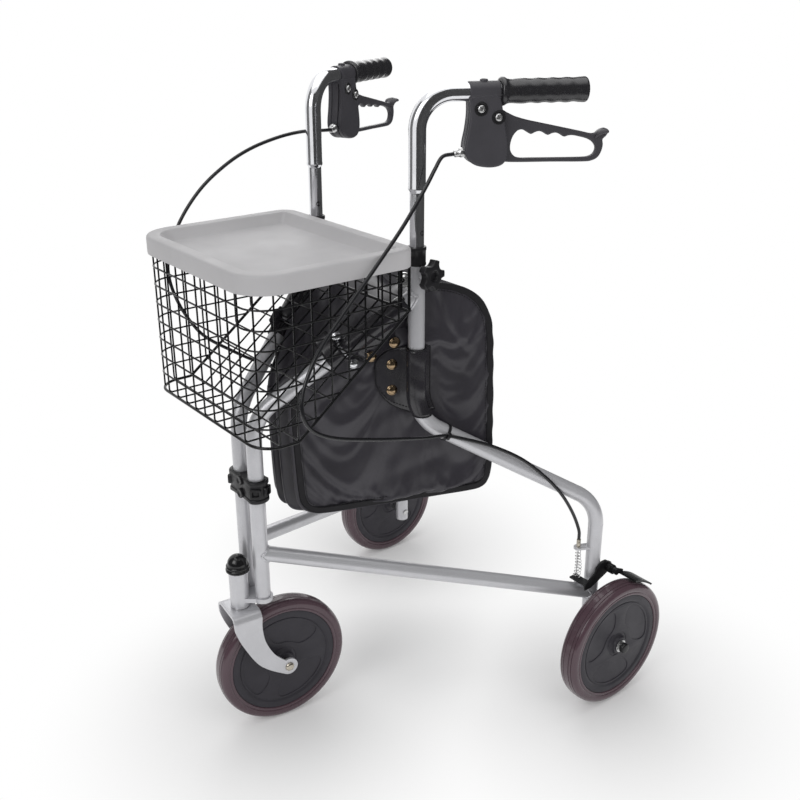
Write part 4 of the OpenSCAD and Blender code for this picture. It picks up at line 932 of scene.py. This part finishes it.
def grip_shape():
    """A rubber grip with a rolled flange, a neck and shallow finger waves."""
    profile = [(0, 110), (11.2, 110), (11.2, 0.3), (14.6, 0.3), (16.3, 0.8), (17.3, 2.2), (17.5, 4.2), (17.0, 6.0),
               (15.9, 7.6), (14.9, 9.8), (14.4, 13), (14.5, 17), (15.0, 22)]
    profile += [(15.3, s) for s in np.linspace(26, 106, 54)]
    profile += [(15.4, 108), (15.6, 110), (15.5, 111.8), (14.7, 113.2), (13.0, 114.0), (9.5, 114.1), (8.6, 113.5),
                (0, 113.4)]
    points, faces = lathe(profile, on_frame(GRIP_U, 0, GRIP_Z), ALONG, 64)
    start, pitch, count = GRIP_WAVES
    rel = points - on_frame(GRIP_U, 0, GRIP_Z)
    s = rel @ ALONG
    out = rel - s[:, None] * ALONG
    radius = np.linalg.norm(out, axis=1)
    below = np.clip(-out[:, 2] / np.maximum(radius, 1e-6), -0.2, 1)
    within = (s > start) & (s < start + pitch * count) & (radius > 13)
    dip = within * (0.5 - 0.5 * np.cos((s - start) / pitch * 2 * math.pi)) * (0.7 + 0.3 * np.clip(below, 0, 1))
    return points - dip[:, None] * out / np.maximum(radius, 1e-6)[:, None], faces


def make_handle_tubes():
    rise = np.linspace(SLIDE_BOTTOM, SWAGE_Z - 7, 12)
    radii = [SLIDE_R] * len(rise)
    flare = [(-6, SLIDE_R), (-4.6, 9.9), (-3.4, 10.7), (-2.4, 11.35), (-0.6, 11.5), (1.0, 11.3), (2.0, HANDLE_R),
             (20, HANDLE_R)]
    corner = bent([(REAR_U, 0, SWAGE_Z + 22), (REAR_U, 0, GRIP_Z), (HANDLE_END, 0, GRIP_Z)], 60, 72)
    line = np.array([(REAR_U, 0, z) for z in [*rise, *(SWAGE_Z + dz for dz, r in flare)]] + list(corner))
    radii = np.array(radii + [r for dz, r in flare] + [HANDLE_R] * len(corner))
    tube = sweep(side_to_row(line), circle(1.0, 72), INWARD, sizes=radii)
    both("bent_handle", tube, CHROME, "handle", ["handle_tube"])

    around = np.cross(UP, KNOB_OUT)
    # Black discs over the slide tube's pin holes, which are not cut: painted shade standing in for the dark inside of
    # each hole.
    hole_shade = []
    for k in (1, 2):
        for face in (-1, 1):
            centre = on_frame(REAR_U, 0, KNOB_Z + k * HOLE_PITCH)
            rows = []
            for reach, lift in ((0.1, 0.03), (HOLE_R - 0.5, 0.03), (HOLE_R, 0.09), (HOLE_R + 0.2, -0.5)):
                turns = circle(reach, 24)
                angle = turns[:, :1] / SLIDE_R
                away = np.cos(angle) * face * KNOB_OUT + np.sin(angle) * around
                rows.append(centre + (SLIDE_R + lift) * away + turns[:, 1:] * UP)
            rows = np.array(rows)
            hole_shade.append(grid(np.concatenate([rows, rows[:, :1]], 1)))
    both("hole_shade_discs", join(*hole_shade), BLACK_PLASTIC, "handle")


def make_handles():
    make_handle_tubes()
    both("hand_grip", grip_shape(), GRIP_RUBBER, "handle", ["grip"])

    cheek = spline(CHEEK, 5, closed=True)
    front = np.array(CHEEK[:9] + [(309, 829), (299.5, 834), (297.2, 842), (297.2, 902), (290, 905)], float)
    sleeve = [(11.2, 0), (12.3, 0), (13.0, 0.7), (13.0, 38.3), (12.3, 39.0), (11.2, 39.0)]
    boss = [(5.0, 9), (5.0, 14.2), (4.5, 15.0), (3.4, 15.4), (2.6, 15.4), (2.2, 14.2), (0, 14.0)]
    shell = join(
        side_moulded(cheek, 8.5, 3.4, v=-8.75), side_moulded(cheek, 8.5, 3.4, v=8.75),
        side_moulded(front, 9.6, 0.6), lathe(sleeve, on_frame(287, 0, GRIP_Z), ALONG, 56, closed=True),
        lathe(boss, on_frame(306.5, 0, GRIP_Z), UP, 36))
    both("lever_housing", shell, CHARCOAL, "handle", ["brake_housing"], 32)

    # Black rings round each dome bolt, on the flat cheeks: painted shade standing in for the dark of a recessed well.
    well = [(4.9, 12.4), (8.4, 12.4), (8.8, 13.1), (8.2, 13.9), (7.2, 13.8), (6.2, 13.2), (4.9, 13.1)]
    dome = [(5.0, 11.0), (5.0, 14.2), (4.6, 15.2), (3.6, 16.0), (2.3, 16.3), (1.9, 15.4), (0, 15.3)]
    well_shades, domes = [], []
    for u, z in (PIVOT, CLAMP_BOLT):
        origin = on_frame(u, 0, z)
        for out in (-INWARD, INWARD):
            well_shades.append(lathe(well, origin, out, 40, closed=True))
            domes.append(lathe(dome, origin, out, 36))
        domes.append(lathe([(0, -11), (2.9, -11), (2.9, 11), (0, 11)], origin, INWARD, 20))
    both("bolt_well_shades", join(*well_shades), BLACK_PLASTIC, "handle")
    both("dome_bolts", join(*domes), ZINC, "handle", ["lever_bolts"])

    openings = [spline(FINGERS, 5, closed=True), PIVOT + circle(3.2, 24)]
    blade = side_moulded(spline(LEVER, 5, closed=True), 8.2, 2.4, openings)
    tip = spline([(454.5, 851), (459, 855.4), (464, 858.6), (469, 859.2), (472, 857.4)], 5)
    line = np.array([on_frame(u, 0, z) for u, z in tip])
    oval = circle(1.0, 20) * np.array([11.5, 3.6])
    swell = np.interp(np.linspace(0, 1, len(line)), [0, 0.3, 0.75, 0.93, 1], [0.5, 0.82, 1, 0.8, 0.45])
    spoon = sweep(line, oval, UP, sizes=swell)
    tilt = math.radians(ADJUST_TILT)
    outward = -math.cos(tilt) * ALONG - math.sin(tilt) * UP
    barrel = [(2.7, -3), (6.4, -3), (6.6, 1.6), (6.1, 2.4), (5.4, 3.0), (5.9, 3.8), (6.2, 5.6), (6.2, 9.4),
              (5.7, 10.2), (4.9, 11.2), (4.6, 15.2), (4.2, 16.8), (3.4, 17.4), (2.7, 17.4)]
    adjuster = lathe(barrel, on_frame(HOUSING_U, 0, ADJUST_Z), outward, 40, closed=True)
    both("adjuster_barrel", adjuster, ZINC, "handle", ["cable_adjuster"])
    both("squeeze_lever", join(blade, spoon), CHARCOAL, "lever", ["brake_lever"], 35)

    profile = [(9.68, 698), (12.0, 697.4), (12.3, 697.8), (12.3, 700.5), (11.9, 701.2), (11.9, 716.6), (12.5, 717.4),
               (12.5, 720.8), (11.9, 721.8), (9.68, 722)]
    collar = lathe(profile, on_frame(REAR_U, 0, 0), UP, 56, closed=True)
    both("tube_collar", collar, BLACK_PLASTIC, "frame", ["height_collar"])


make_handles()


# Star knobs

KNOB_SEAT = 17.4
KNOB_ARMS, KNOB_R, HOLLOW_R, HOLLOW_OUT = 5, 21.0, 9.5, 24


def star_shape():
    """A five armed knob with hollow sides and a dished middle."""
    loop = []
    for a in np.linspace(0, 2 * math.pi, 160, endpoint=False):
        turn = ((a * KNOB_ARMS / (2 * math.pi)) % 1.0 - 0.5) * 2 * math.pi / KNOB_ARMS
        hollow = HOLLOW_R**2 - (HOLLOW_OUT * math.sin(turn)) ** 2
        reach = min(KNOB_R, HOLLOW_OUT * math.cos(turn) - math.sqrt(hollow)) if hollow > 0 else KNOB_R
        loop.append(reach * np.array([math.cos(a), math.sin(a)]))
    arms = moulded(np.array(loop), 11.0, 1.9, [circle(7.0, 40)])
    cup = [(0, -3.6), (7.3, -3.6), (7.3, 3.4), (6.6, 4.4), (5.6, 4.2), (4.8, 1.6), (0, 1.2)]
    neck = [(0, -13.2), (3.0, -13.2), (3.0, -8.2), (9.6, -8.2), (10, -7.6), (10, -4.8), (0, -4.8)]
    return join(arms, lathe(cup, np.zeros(3), UP, 40), lathe(neck, np.zeros(3), UP, 40))


def make_knobs():
    middle = on_frame(REAR_U, 0, KNOB_Z) + (KNOB_SEAT + 2 + 6) * KNOB_OUT
    shape = placed(star_shape(), middle, np.cross(UP, KNOB_OUT), UP, KNOB_OUT)
    both("height_knob", shape, BLACK_PLASTIC, "knob", ["star_knob"])


make_knobs()


# Springs and brake details

ARM_X = LEG_X + TUBE_R + 0.9
BRAKE_PIVOT_Y, BRAKE_PIVOT_Z = 229, 207
PER_CURL = 20


def make_brake_ends():
    turns = 9 * PER_CURL
    pull = on_frame(LEG_U - 25, 0, 0)
    low, high = 192.8, 241.8
    helix = []
    for i in range(turns + 1):
        w, a = i / turns, 2 * math.pi * i / PER_CURL
        r = 5.4 + (3.6 - 5.4) * w
        bow = 1.7 * math.sin(math.pi * w) + 0.7 * math.sin(2 * math.pi * w)
        helix.append(pull + bow * ALONG + np.array([r * math.cos(a), r * math.sin(a), low + (high - low) * w]))
    spring = rod(helix, 0.55, 8)
    for s in SIDES:
        obj = piece(f"{s}_spring", for_side(s, spring), ZINC, f"{s}_frame")
        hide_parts(f"{s}_return_spring")
        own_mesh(obj)
    ferrule = [(1.2, 241.0), (2.9, 241.0), (3.1, 241.4), (3.1, 254.0), (2.9, 254.6), (3.15, 255.2), (3.15, 257.8),
               (2.8, 258.5), (1.2, 258.5)]
    both("cable_end", lathe(ferrule, pull, UP, 32, closed=True), NICKEL, "frame", ["cable_ferrule"])

    cheek = [(195, 183), (204, 213), (212, 218), (226, 219), (236, 213), (238, 205), (228, 197)]
    plate = placed(moulded(np.array(cheek, float), 3.0, 0.6), (ARM_X + 1.25, 0, 0), BACK, UP, ACROSS)
    both("brake_cheek", plate, BLACK_STEEL, "brake")
    coil = []
    for i in range(5 * PER_CURL + 1):
        y, z = polar(6.5, 360 * i / PER_CURL)
        coil.append((ARM_X + 4.0 + 0.11 * i, BRAKE_PIVOT_Y + y, BRAKE_PIVOT_Z + z))
    both("pivot_coil", rod(coil, 0.9, 8), BLACK_STEEL, "brake")


make_brake_ends()


# Tray

TRAY_HALF, TRAY_FRONT, TRAY_REAR = 152.0, -307.0, -65.0


def rounded_rectangle(half, front, rear, front_r, rear_r, steps=12):
    out = []
    for cx, cy, r, start in (
        (half - rear_r, rear - rear_r, rear_r, 0), (rear_r - half, rear - rear_r, rear_r, 90),
        (front_r - half, front + front_r, front_r, 180), (half - front_r, front + front_r, front_r, 270),
    ):
        out += [(cx, cy) + polar(r, start + 90 * k / steps) for k in range(steps + 1)]
    return np.array(out)


def at_height(flat, z):
    """A flat outline at one height."""
    return np.column_stack([flat, np.full(len(flat), z)])


def tray_loop(inset, z):
    corners = max(4, 49 - inset), max(4, 24 - inset)
    return at_height(rounded_rectangle(TRAY_HALF - inset, TRAY_FRONT + inset, TRAY_REAR - inset, *corners), z)


def make_tray():
    rings = [(3.2, 715.0), (3.0, 714.2), (3.0, 706.7), (2.5, 706.1), (0.9, 706.0), (0.2, 706.5), (0.0, 707.4),
             (0.0, 726.2), (0.4, 728.2), (1.4, 729.5), (3.0, 730.0), (5.0, 730.0), (16.8, 730.0), (17.6, 729.8),
             (18.3, 729.3), (18.9, 728.5), (28.6, 717.4), (29.3, 716.8), (30.2, 716.45), (31.4, 716.3), (60, 716.3)]
    loops = np.array([tray_loop(inset, z) for inset, z in rings])
    shape = loops.reshape(-1, 3), tube_faces(*loops.shape[:2])
    piece("serving_tray", shape, TRAY_PLASTIC, "tray", ["tray"], 50)


make_tray()


# Basket

WIRE_R, RIM_R = 1.25, 2.0
BASKET_HALF, BASKET_FRONT, BASKET_REAR = 143.5, -298.5, -73.5
BASKET_FLOOR, BASKET_TOP, FLOOR_BREAK, SLOPE = 512.6, 712.4, -245.5, 0.783
FRONT_CORNER, REAR_CORNER, CORNER_STEPS = 32.0, 15.5, 8
CORNER_WIRE, POST_X = 54, 127


def slope_z(y):
    """How high the basket's floor is at a place."""
    return BASKET_FLOOR + max(0.0, y - FLOOR_BREAK) * SLOPE


BASKET_LOOP = rounded_rectangle(BASKET_HALF, BASKET_FRONT, BASKET_REAR, FRONT_CORNER, REAR_CORNER, CORNER_STEPS)
BASKET_NOSE = BASKET_LOOP[2 * (CORNER_STEPS + 1):]


def basket_row(z):
    """A wire round the basket at one height: closed above the slope, open at the rear below its end."""
    if z > slope_z(BASKET_REAR):
        return at_height(BASKET_LOOP, z), True
    back = FLOOR_BREAK + (z - BASKET_FLOOR) / SLOPE
    return at_height(np.concatenate([[(-BASKET_HALF, back)], BASKET_NOSE, [(BASKET_HALF, back)]]), z), False


def make_basket():
    wires = []
    for z in np.linspace(BASKET_FLOOR, BASKET_TOP, 9)[1:-1]:
        line, closed = basket_row(z)
        wires.append(rod(line, WIRE_R, 8, closed))
    end = slope_z(BASKET_REAR)
    for x in np.linspace(-104, 104, 9):
        path = [(x, BASKET_FRONT, BASKET_TOP), (x, BASKET_FRONT, BASKET_FLOOR), (x, FLOOR_BREAK, BASKET_FLOOR),
                (x, BASKET_REAR, end), (x, BASKET_REAR, BASKET_TOP)]
        wires.append(rod(bent(path, 5, 5), WIRE_R, 8))
    lift, half = 2 * WIRE_R * 0.9, BASKET_HALF
    for y in np.linspace(-272, -90, 8):
        z = slope_z(y) + lift
        path = [(half, y, BASKET_TOP), (half, y, z), (-half, y, z), (-half, y, BASKET_TOP)]
        wires.append(rod(bent(path, 5, 5), WIRE_R, 8))
    in_x, in_y = polar(FRONT_CORNER, CORNER_WIRE)
    for side in (-1, 1):
        x, y = side * (half - FRONT_CORNER + in_x), BASKET_FRONT + FRONT_CORNER - in_y
        wires.append(rod([(x, y, BASKET_TOP), (x, y, BASKET_FLOOR)], WIRE_R, 8))
        wires.append(rod([(side * POST_X, BASKET_REAR, BASKET_TOP), (side * POST_X, BASKET_REAR, end)], RIM_R, 10))
    wires.append(rod(at_height(BASKET_LOOP, BASKET_TOP), RIM_R, 10, True))
    nose = at_height(BASKET_NOSE[::-1], BASKET_FLOOR)
    edge = [(half, BASKET_REAR, BASKET_TOP), (half, BASKET_REAR, end), (half, FLOOR_BREAK, BASKET_FLOOR), nose[0]]
    edge = bent(edge, 9, 6)[:-1]
    wires.append(rod(np.concatenate([edge, nose, edge[::-1] * (-1, 1, 1)]), RIM_R, 10))
    wires.append(rod([(-half, BASKET_REAR, end), (half, BASKET_REAR, end)], RIM_R, 10))
    piece("wire_basket", join(*wires), BLACK_WIRE, "basket", ["basket"])


make_basket()


# Bag

PANEL_V = 16.5
TUBE_CLEAR = 12.6
PANEL = [
    (54, 470), (56, 420), (59, 372), (64, 354), (76, 343), (95, 339.5), (145, 342), (203, 345.5), (262, 349.5),
    (306, 352.5), (324, 356), (334, 366), (338, 384), (338.5, 437), (337.5, 492), (336, 545), (334, 590),
    (328, 620), (314, 643), (292, 658), (266, 666), (240, 666), (216, 656), (196, 643), (160, 618), (120, 590),
    (88, 566), (66, 546), (56, 522), (53.5, 495),
]
CLOTH_COLUMNS, CLOTH_ROWS = 88, 64
SLACK = -0.028
CLOTH_FRAMES = 26
CLOTH_THICK = 1.2
BINDING = (9.0, 3.2)
GRID_CORNERS = ((70, 347), (330, 361), (322, 632), (62, 540))
LOOP_POINTS = 260
FOLD_DEPTH = 0.65
PANEL_FOLDS = [
    (262, 628, -68, 34, 7, 4.5), (278, 592, -52, 38, 8, 4.0), (272, 548, -38, 40, 9, 3.2),
    (300, 560, 74, 60, 16, 2.4), (150, 470, 32, 70, 18, 3.6), (118, 430, 24, 80, 22, 3.0),
    (196, 430, 62, 60, 18, 3.0), (232, 404, 20, 70, 16, 2.6), (110, 520, 40, 46, 10, 3.4),
    (140, 540, 46, 40, 9, 2.8), (285, 400, -14, 60, 18, 2.2),
]
BACK_CREASES = [
    (-70, 560, 62, 70, 15, 3.2), (40, 590, -58, 60, 14, 2.8), (88, 480, 72, 90, 17, 3.4),
    (-95, 430, -68, 80, 15, 3.0), (12, 450, 44, 80, 19, 2.6), (-20, 384, 10, 110, 13, 3.0),
    (64, 378, -14, 90, 12, 2.6), (-52, 500, 36, 60, 13, 2.2), (0, 628, 5, 120, 11, 2.4),
    (108, 570, -80, 60, 12, 2.4), (-118, 520, 84, 90, 12, 2.4),
]
BELT_COLUMNS = 49


def panel_outline(count=240, inset=0.0):
    """The panel's outline as (u, z) points, drawn in by the inset."""
    loop = spline(PANEL, 10, closed=True)
    loop = evened(np.concatenate([loop, loop[:1]]), count + 1)[:-1]
    run = np.roll(loop, -1, 0) - np.roll(loop, 1, 0)
    run /= np.linalg.norm(run, axis=1)[:, None]
    return loop + inset * np.column_stack([-run[:, 1], run[:, 0]])


def nearest_point(loop, place):
    """Which point of a loop lies nearest to a place."""
    return int(np.argmin(np.linalg.norm(loop - np.array(place), axis=1)))


def on_panel(loop, v):
    """A loop of (u, z) places, v inward of the left frame's plane, in the row frame."""
    return side_to_row(np.column_stack([loop[:, 0], np.full(len(loop), v), loop[:, 1]]))


def panel_grid():
    """A grid of (u, z) places that fills the panel's outline."""
    loop = panel_outline(480, BINDING[0] / 2)
    corners = [nearest_point(loop, place) for place in GRID_CORNERS]

    def edge(k, count):
        a, b = corners[k], corners[(k + 1) % 4]
        line = loop[a:b + 1] if a <= b else np.concatenate([loop[a:], loop[:b + 1]])
        return evened(line, count)

    low, right = edge(0, CLOTH_COLUMNS), edge(1, CLOTH_ROWS)
    high, left = edge(2, CLOTH_COLUMNS)[::-1], edge(3, CLOTH_ROWS)[::-1]
    s, t = np.linspace(0, 1, CLOTH_COLUMNS)[None, :, None], np.linspace(0, 1, CLOTH_ROWS)[:, None, None]
    return ((1 - t) * low[None] + t * high[None] + (1 - s) * left[:, None] + s * right[:, None]
            - (1 - s) * (1 - t) * low[0] - s * (1 - t) * low[-1] - (1 - s) * t * high[0] - s * t * high[-1])


def crease(x, z, at_x, at_z, angle, long, wide, deep):
    """One soft fold of a cloth face: a ridge with a valley on each side, fading at its ends."""
    c, s = math.cos(math.radians(angle)), math.sin(math.radians(angle))
    along, across = (x - at_x) * c + (z - at_z) * s, -(x - at_x) * s + (z - at_z) * c
    return deep * np.exp(-((along / long) ** 2) - (across / wide) ** 2) * np.cos(across / wide * 1.9)


def soft_bumps(u, z):
    """Folds that the photographed panel shows: a row of puckers over the hem and creases off the sleeve."""
    hem = 352 + (u - 60) * 0.03
    above = z - hem
    puckers = 1.7 * np.sin(u / 3.1 + 1.2 * np.sin(u / 19)) * np.exp(-((above - 8) / 15) ** 2)
    puckers += 2.4 * np.sin(u / 11 + 0.8 * np.sin(u / 37)) * np.exp(-((above - 24) / 22) ** 2)
    puckers *= np.clip((u - 70) / 30, 0, 1) * np.clip((330 - u) / 40, 0, 1)
    return puckers + sum(FOLD_DEPTH * crease(u, z, *fold) for fold in PANEL_FOLDS)


def settle_cloth(points, pinned, gravity):
    """The grid of points (metres) after a short cloth simulation with the pinned points held."""
    rows, columns = points.shape[:2]
    obj = put("cloth_try", plain_mesh("cloth_try", *grid(points)))
    held = obj.vertex_groups.new(name="held")
    held.add([int(i) for i in np.flatnonzero(pinned.reshape(-1))], 1.0, "REPLACE")
    cloth = obj.modifiers.new("cloth", "CLOTH")
    s = cloth.settings
    s.quality, s.mass, s.air_damping = 7, 0.25, 4.0
    s.tension_stiffness = s.compression_stiffness = 18
    s.shear_stiffness, s.bending_stiffness = 6, 0.35
    s.tension_damping = s.compression_damping = s.shear_damping = 12
    s.vertex_group_mass = "held"
    s.shrink_min = SLACK
    s.effector_weights.gravity = gravity
    cloth.collision_settings.use_collision = False
    cloth.point_cache.frame_start, cloth.point_cache.frame_end = 1, CLOTH_FRAMES
    scene = bpy.context.scene
    for k in range(1, CLOTH_FRAMES + 1):
        scene.frame_set(k)
    done = obj.evaluated_get(bpy.context.evaluated_depsgraph_get()).to_mesh()
    result = np.array([v.co for v in done.vertices], float)
    scene.frame_set(1)
    bpy.data.objects.remove(obj)
    return result.reshape(rows, columns, 3)


def tube_keepout(u, z):
    """How far inward the cloth has to stay at a place of the side frame, because a tube passes there."""
    free = -40.0
    least = np.full(u.shape, free)
    slope = math.atan(DIAG_TAN)
    diag = (z - FRONT_APEX_Z - u * DIAG_TAN) * math.cos(slope)
    fall = math.atan((REAR_APEX_Z - LEG_APEX_Z) / (LEG_U - REAR_U))
    lower = (z - REAR_APEX_Z + (u - REAR_U) * math.tan(fall)) * math.cos(fall)
    for distance, used in ((u - REAR_U, z > 490), (diag, u < 235), (lower, u > 225)):
        depth = np.sqrt(np.maximum(0.0, TUBE_CLEAR**2 - distance**2))
        least = np.maximum(least, np.where(used & (np.abs(distance) < TUBE_CLEAR), depth, free))
    return least


def panel_points():
    """The left panel as a grid in (u, v, z), hung, slack and kept clear of the tubes."""
    flat = panel_grid()
    u, z = flat[..., 0], flat[..., 1]
    rows, columns = u.shape
    i, j = np.meshgrid(np.arange(rows), np.arange(columns), indexing="ij")
    rim = np.minimum(np.minimum(i, rows - 1 - i), np.minimum(j, columns - 1 - j))
    sleeve = (np.abs(u - 243) < 6) & (z > 490) & (z < 582) | (np.abs(u - 190) < 9) & (z > 515) & (z < 570)
    v = np.full(u.shape, PANEL_V)
    seed = 1.5 * np.sin(u / 23 + 0.9) * np.sin(z / 29 + 0.4)
    start = np.stack([u, v + np.where(rim > 0, seed, 0), z], -1)
    moved = settle_cloth(start * MM, (rim == 0) | sleeve, 0.6) / MM
    push = np.clip(moved[..., 1] - PANEL_V, -13, 13)
    inner = np.clip(rim / 3, 0, 1)
    push = push + inner * soft_bumps(u, z)
    push = np.where(sleeve, np.clip(push, -1.5, 1.5), push)
    moved[..., 1] = np.maximum(PANEL_V + push, tube_keepout(u, z))
    return moved


def belt_points(loop, depth, columns):
    """The cloth between both panels, over a run of the outline, with pleats, creases and sag."""
    rows = []
    for (u, z), (sag, pleat, lift, back) in zip(loop, depth):
        edge = on_frame(u, PANEL_V - 1.0, z)
        row = []
        for k in range(columns):
            w = 2 * k / (columns - 1) - 1
            dip = 1 - w * w
            fold = pleat * math.cos(3 * math.pi * w) * (1 - abs(w)) ** 0.4
            x = edge[0] * -w
            fold += back * sum(crease(x, z, *place) for place in BACK_CREASES)
            fold += back * 0.9 * math.sin(z / 6 + 1.1 * math.sin(z / 23)) * math.exp(-((1 - abs(w)) / 0.1 - 0.6) ** 2)
            ruffle = lift * (math.sin(5 * w + z / 40) + 0.8 * math.sin(11 * w - u / 13))
            row.append((x, edge[1] + fold + sag[0] * dip, edge[2] + sag[1] * dip + ruffle))
        rows.append(row)
    return np.array(rows)


STITCH_PITCH, STITCH_LONG = 4.2, 2.6


def stitch_row(line, away):
    """Thread stitches along a line, lying just above the cloth in the direction away."""
    places = evened(line, max(3, int(steps_of(line).sum() / STITCH_PITCH) * 2 + 1))
    shapes = []
    for a, b in zip(places[0::2], places[1::2]):
        d = (b - a) / np.linalg.norm(b - a)
        m = (a + b) / 2
        ends = [m - d * STITCH_LONG / 2 + 0.05 * away, m + 0.5 * away, m + d * STITCH_LONG / 2 + 0.05 * away]
        shapes.append(rod(ends, 0.42, 6))
    return join(*shapes)


def make_panels():
    """Both side panels, each with its binding and a row of stitches."""
    outline = panel_outline(LOOP_POINTS, BINDING[0] / 2)
    face = grid(side_to_row(panel_points()))
    band = sweep(on_panel(outline, PANEL_V), flat_section(*BINDING), INWARD, closed=True)
    thread = stitch_row(on_panel(panel_outline(LOOP_POINTS, BINDING[0] + 2), PANEL_V - 1.4), -INWARD)
    for s in SIDES:
        panel = piece(f"{s}_bag_panel", for_side(s, face), BAG_CLOTH, f"{s}_frame", sharp=180)
        subdivide = panel.modifiers.new("finer", "SUBSURF")
        subdivide.levels = subdivide.render_levels = 1
        give_thickness(panel, CLOTH_THICK)
        edge = piece(f"{s}_bag_binding", for_side(s, band), BAG_BINDING, f"{s}_frame")
        sewn = piece(f"{s}_bag_stitches", for_side(s, thread), BAG_BINDING, f"{s}_frame")


def make_gusset():
    """Cloth between the panels: front pleats, bottom, rear and the top that sags between the tubes."""
    loop = panel_outline(LOOP_POINTS)
    run = np.roll(loop, -nearest_point(loop, (58, 530)), 0)
    depth = []
    for u, z in run:
        front = math.exp(-((u - 56) / 24) ** 2)
        bottom = math.exp(-((z - 346) / 16) ** 2)
        rear = math.exp(-((u - 336) / 14) ** 2) * (z < 640)
        top = 1.0 if z > FRONT_APEX_Z + DIAG_TAN * u - 45 and u < 325 and z > 520 else 0.0
        sag = (-4 * front - 6 * rear, -7 * bottom - 26 * top)
        depth.append((sag, 9 * front + 2 * rear, 1.0 * rear + 3.2 * top, rear))
    belt = belt_points(np.concatenate([run, run[:1]]), depth + depth[:1], BELT_COLUMNS)
    cloth = piece("bag_gusset", grid(belt), BAG_CLOTH, "front_head", ["bag"], 180)
    give_thickness(cloth, CLOTH_THICK)
    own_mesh(cloth)


make_panels()
make_gusset()


# Leather loops and snaps of the bag


WRAP_R, STRAP_R = 12.9, 12.8
WRAP_THICK, STRAP_THICK = 1.6, 1.5
BRASS_SNAPS = [(192.2, 12.2, 557.4), (192.0, 12.2, 520), (163.5, 11.4, 571), (195.5, 10.5, 589)]
BRIGHT_SNAPS = [(139.5, 11.4, 563), (116.5, 0.3, 606.5)]


def tube_place(z):
    """Where the middle of the rear tube is at a height, as u."""
    turn, bend_z = 65.0, 517.8
    return REAR_U if z > bend_z else REAR_U + turn - math.sqrt(turn**2 - min(turn, bend_z - z) ** 2)


def wrap_point(w, z):
    """A place on the leather wrap: w runs from the seam behind the tube (0), round it, to the tongue's tip (1)."""
    path = np.array([(22, 13.6), (16.5, 12.4), *(polar(WRAP_R, a) * (1, -1) for a in np.linspace(-32, 212, 17)),
                     (-19, 11.6), (-28, 13.2), (-40, 13.7), (-53, 13.7)])
    s = walked(path)
    u, v = (np.interp(w * s[-1], s, path[:, k]) for k in range(2))
    return np.array([tube_place(z) + u, v, z])


def snap_shape(place, away, r):
    """A pressed metal snap: a dome on a rolled rim."""
    dome = [(0, 0.2), (r * 1.12, 0.2), (r * 1.2, 0.7), (r * 1.1, 1.3), (r * 0.98, 1.5)]
    bulge = np.linspace(0.15, math.pi / 2 - 0.08, 11)
    dome += [(r * 0.94 * math.cos(a), 1.5 + 2.1 * math.sin(a)) for a in bulge] + [(0, 3.6)]
    return lathe(dome, place, away, 48)


def make_wraps():
    """The leather wrap round each rear tube, with its tongue snapped to the panel."""
    rows = []
    for w in np.linspace(0, 1, 64):
        inner = np.clip((w - 0.62) / 0.38, 0, 1)
        top = 583 - 9 * inner - 14 * inner**4
        low = 486 + 6 * inner + 26 * inner**2 + 14 * inner**6
        rows.append([wrap_point(w, low + (top - low) * t) for t in np.linspace(0, 1, 25)])
    rows = np.array(rows)
    wrinkle = 0.5 * np.sin(rows[..., 2] / 7 + rows[..., 0] / 11)
    rows[..., 1] -= np.maximum(wrinkle, 0) * (rows[..., 1] < 5)
    for obj in both("bag_wrap", grid(side_to_row(rows)), BAG_LEATHER, "frame", sharp=180):
        give_thickness(obj, WRAP_THICK)
    border = np.concatenate([rows[:, -1], rows[-1, ::-1], rows[::-1, 0], rows[0]])
    both("wrap_piping", rod(side_to_row(border)[::2], 1.15, 8, True), BAG_BINDING, "frame")
    inset_line = np.array([wrap_point(0.06, z) for z in np.linspace(490, 580, 40)])
    sewn = stitch_row(side_to_row(inset_line + np.array([0, -1.6, 0])), -INWARD)
    tongue_line = np.array([rows[int(i)][2 if i < 60 else 3] for i in np.linspace(34, 61, 28)])
    sewn = join(sewn, stitch_row(side_to_row(tongue_line + np.array([0, -1.3, 0])), -INWARD))
    both("wrap_stitches", sewn, BAG_BINDING, "frame")


def make_straps():
    """Straps over the sloping tube: down the outside, and back behind the panel's edge."""
    slope = math.atan(DIAG_TAN)
    along = np.array([math.cos(slope), 0, math.sin(slope)])
    across = np.array([-math.sin(slope), 0, math.cos(slope)])
    straps, pipings = [], []
    inward = BACK
    for place, wide, tail in ((113.0, 22.0, 0.0), (167.0, 100.0, 42.0)):
        base = np.array([place, 0, FRONT_APEX_Z + place * DIAG_TAN])
        if tail:
            starts, turns, ends = [(-tail, 13.4), (-22, 12.2)], np.linspace(-118, 90, 15), [(9, 13.6)]
        else:
            starts, turns, ends = [(34, 1.5), (24, 1.2)], np.linspace(75, -250, 21), [(24, 4.4), (34, 4.0)]
        path = starts + [polar(STRAP_R, a)[::-1] * (1, -1) for a in turns] + ends
        line = np.array([base + up * across + deep * inward for up, deep in path])
        half = wide / 2 * np.interp(np.arange(len(line)), [0, 1.5, len(line)], [0.8, 1, 1])[:, None]
        strip = np.stack([line + along * k * half for k in np.linspace(-1, 1, 9)], 1)
        straps.append(grid(side_to_row(strip)))
        border = np.concatenate([strip[:, 0], strip[-1], strip[::-1, -1], strip[0, ::-1]])
        pipings.append(rod(side_to_row(border), 0.9, 6, True))
    for obj in both("tube_straps", join(*straps), BAG_LEATHER, "frame", sharp=180):
        give_thickness(obj, STRAP_THICK)
    both("strap_edges", join(*pipings), BAG_BINDING, "frame")


def make_snaps():
    brass = [snap_shape(on_frame(*place), -INWARD, 6.2) for place in BRASS_SNAPS]
    both("brass_snaps", join(*brass), BRASS, "frame")
    bright = [snap_shape(on_frame(*place), -INWARD, 5.8) for place in BRIGHT_SNAPS]
    both("bright_snaps", join(*bright), CHROME, "frame")


make_wraps()
make_straps()
make_snaps()
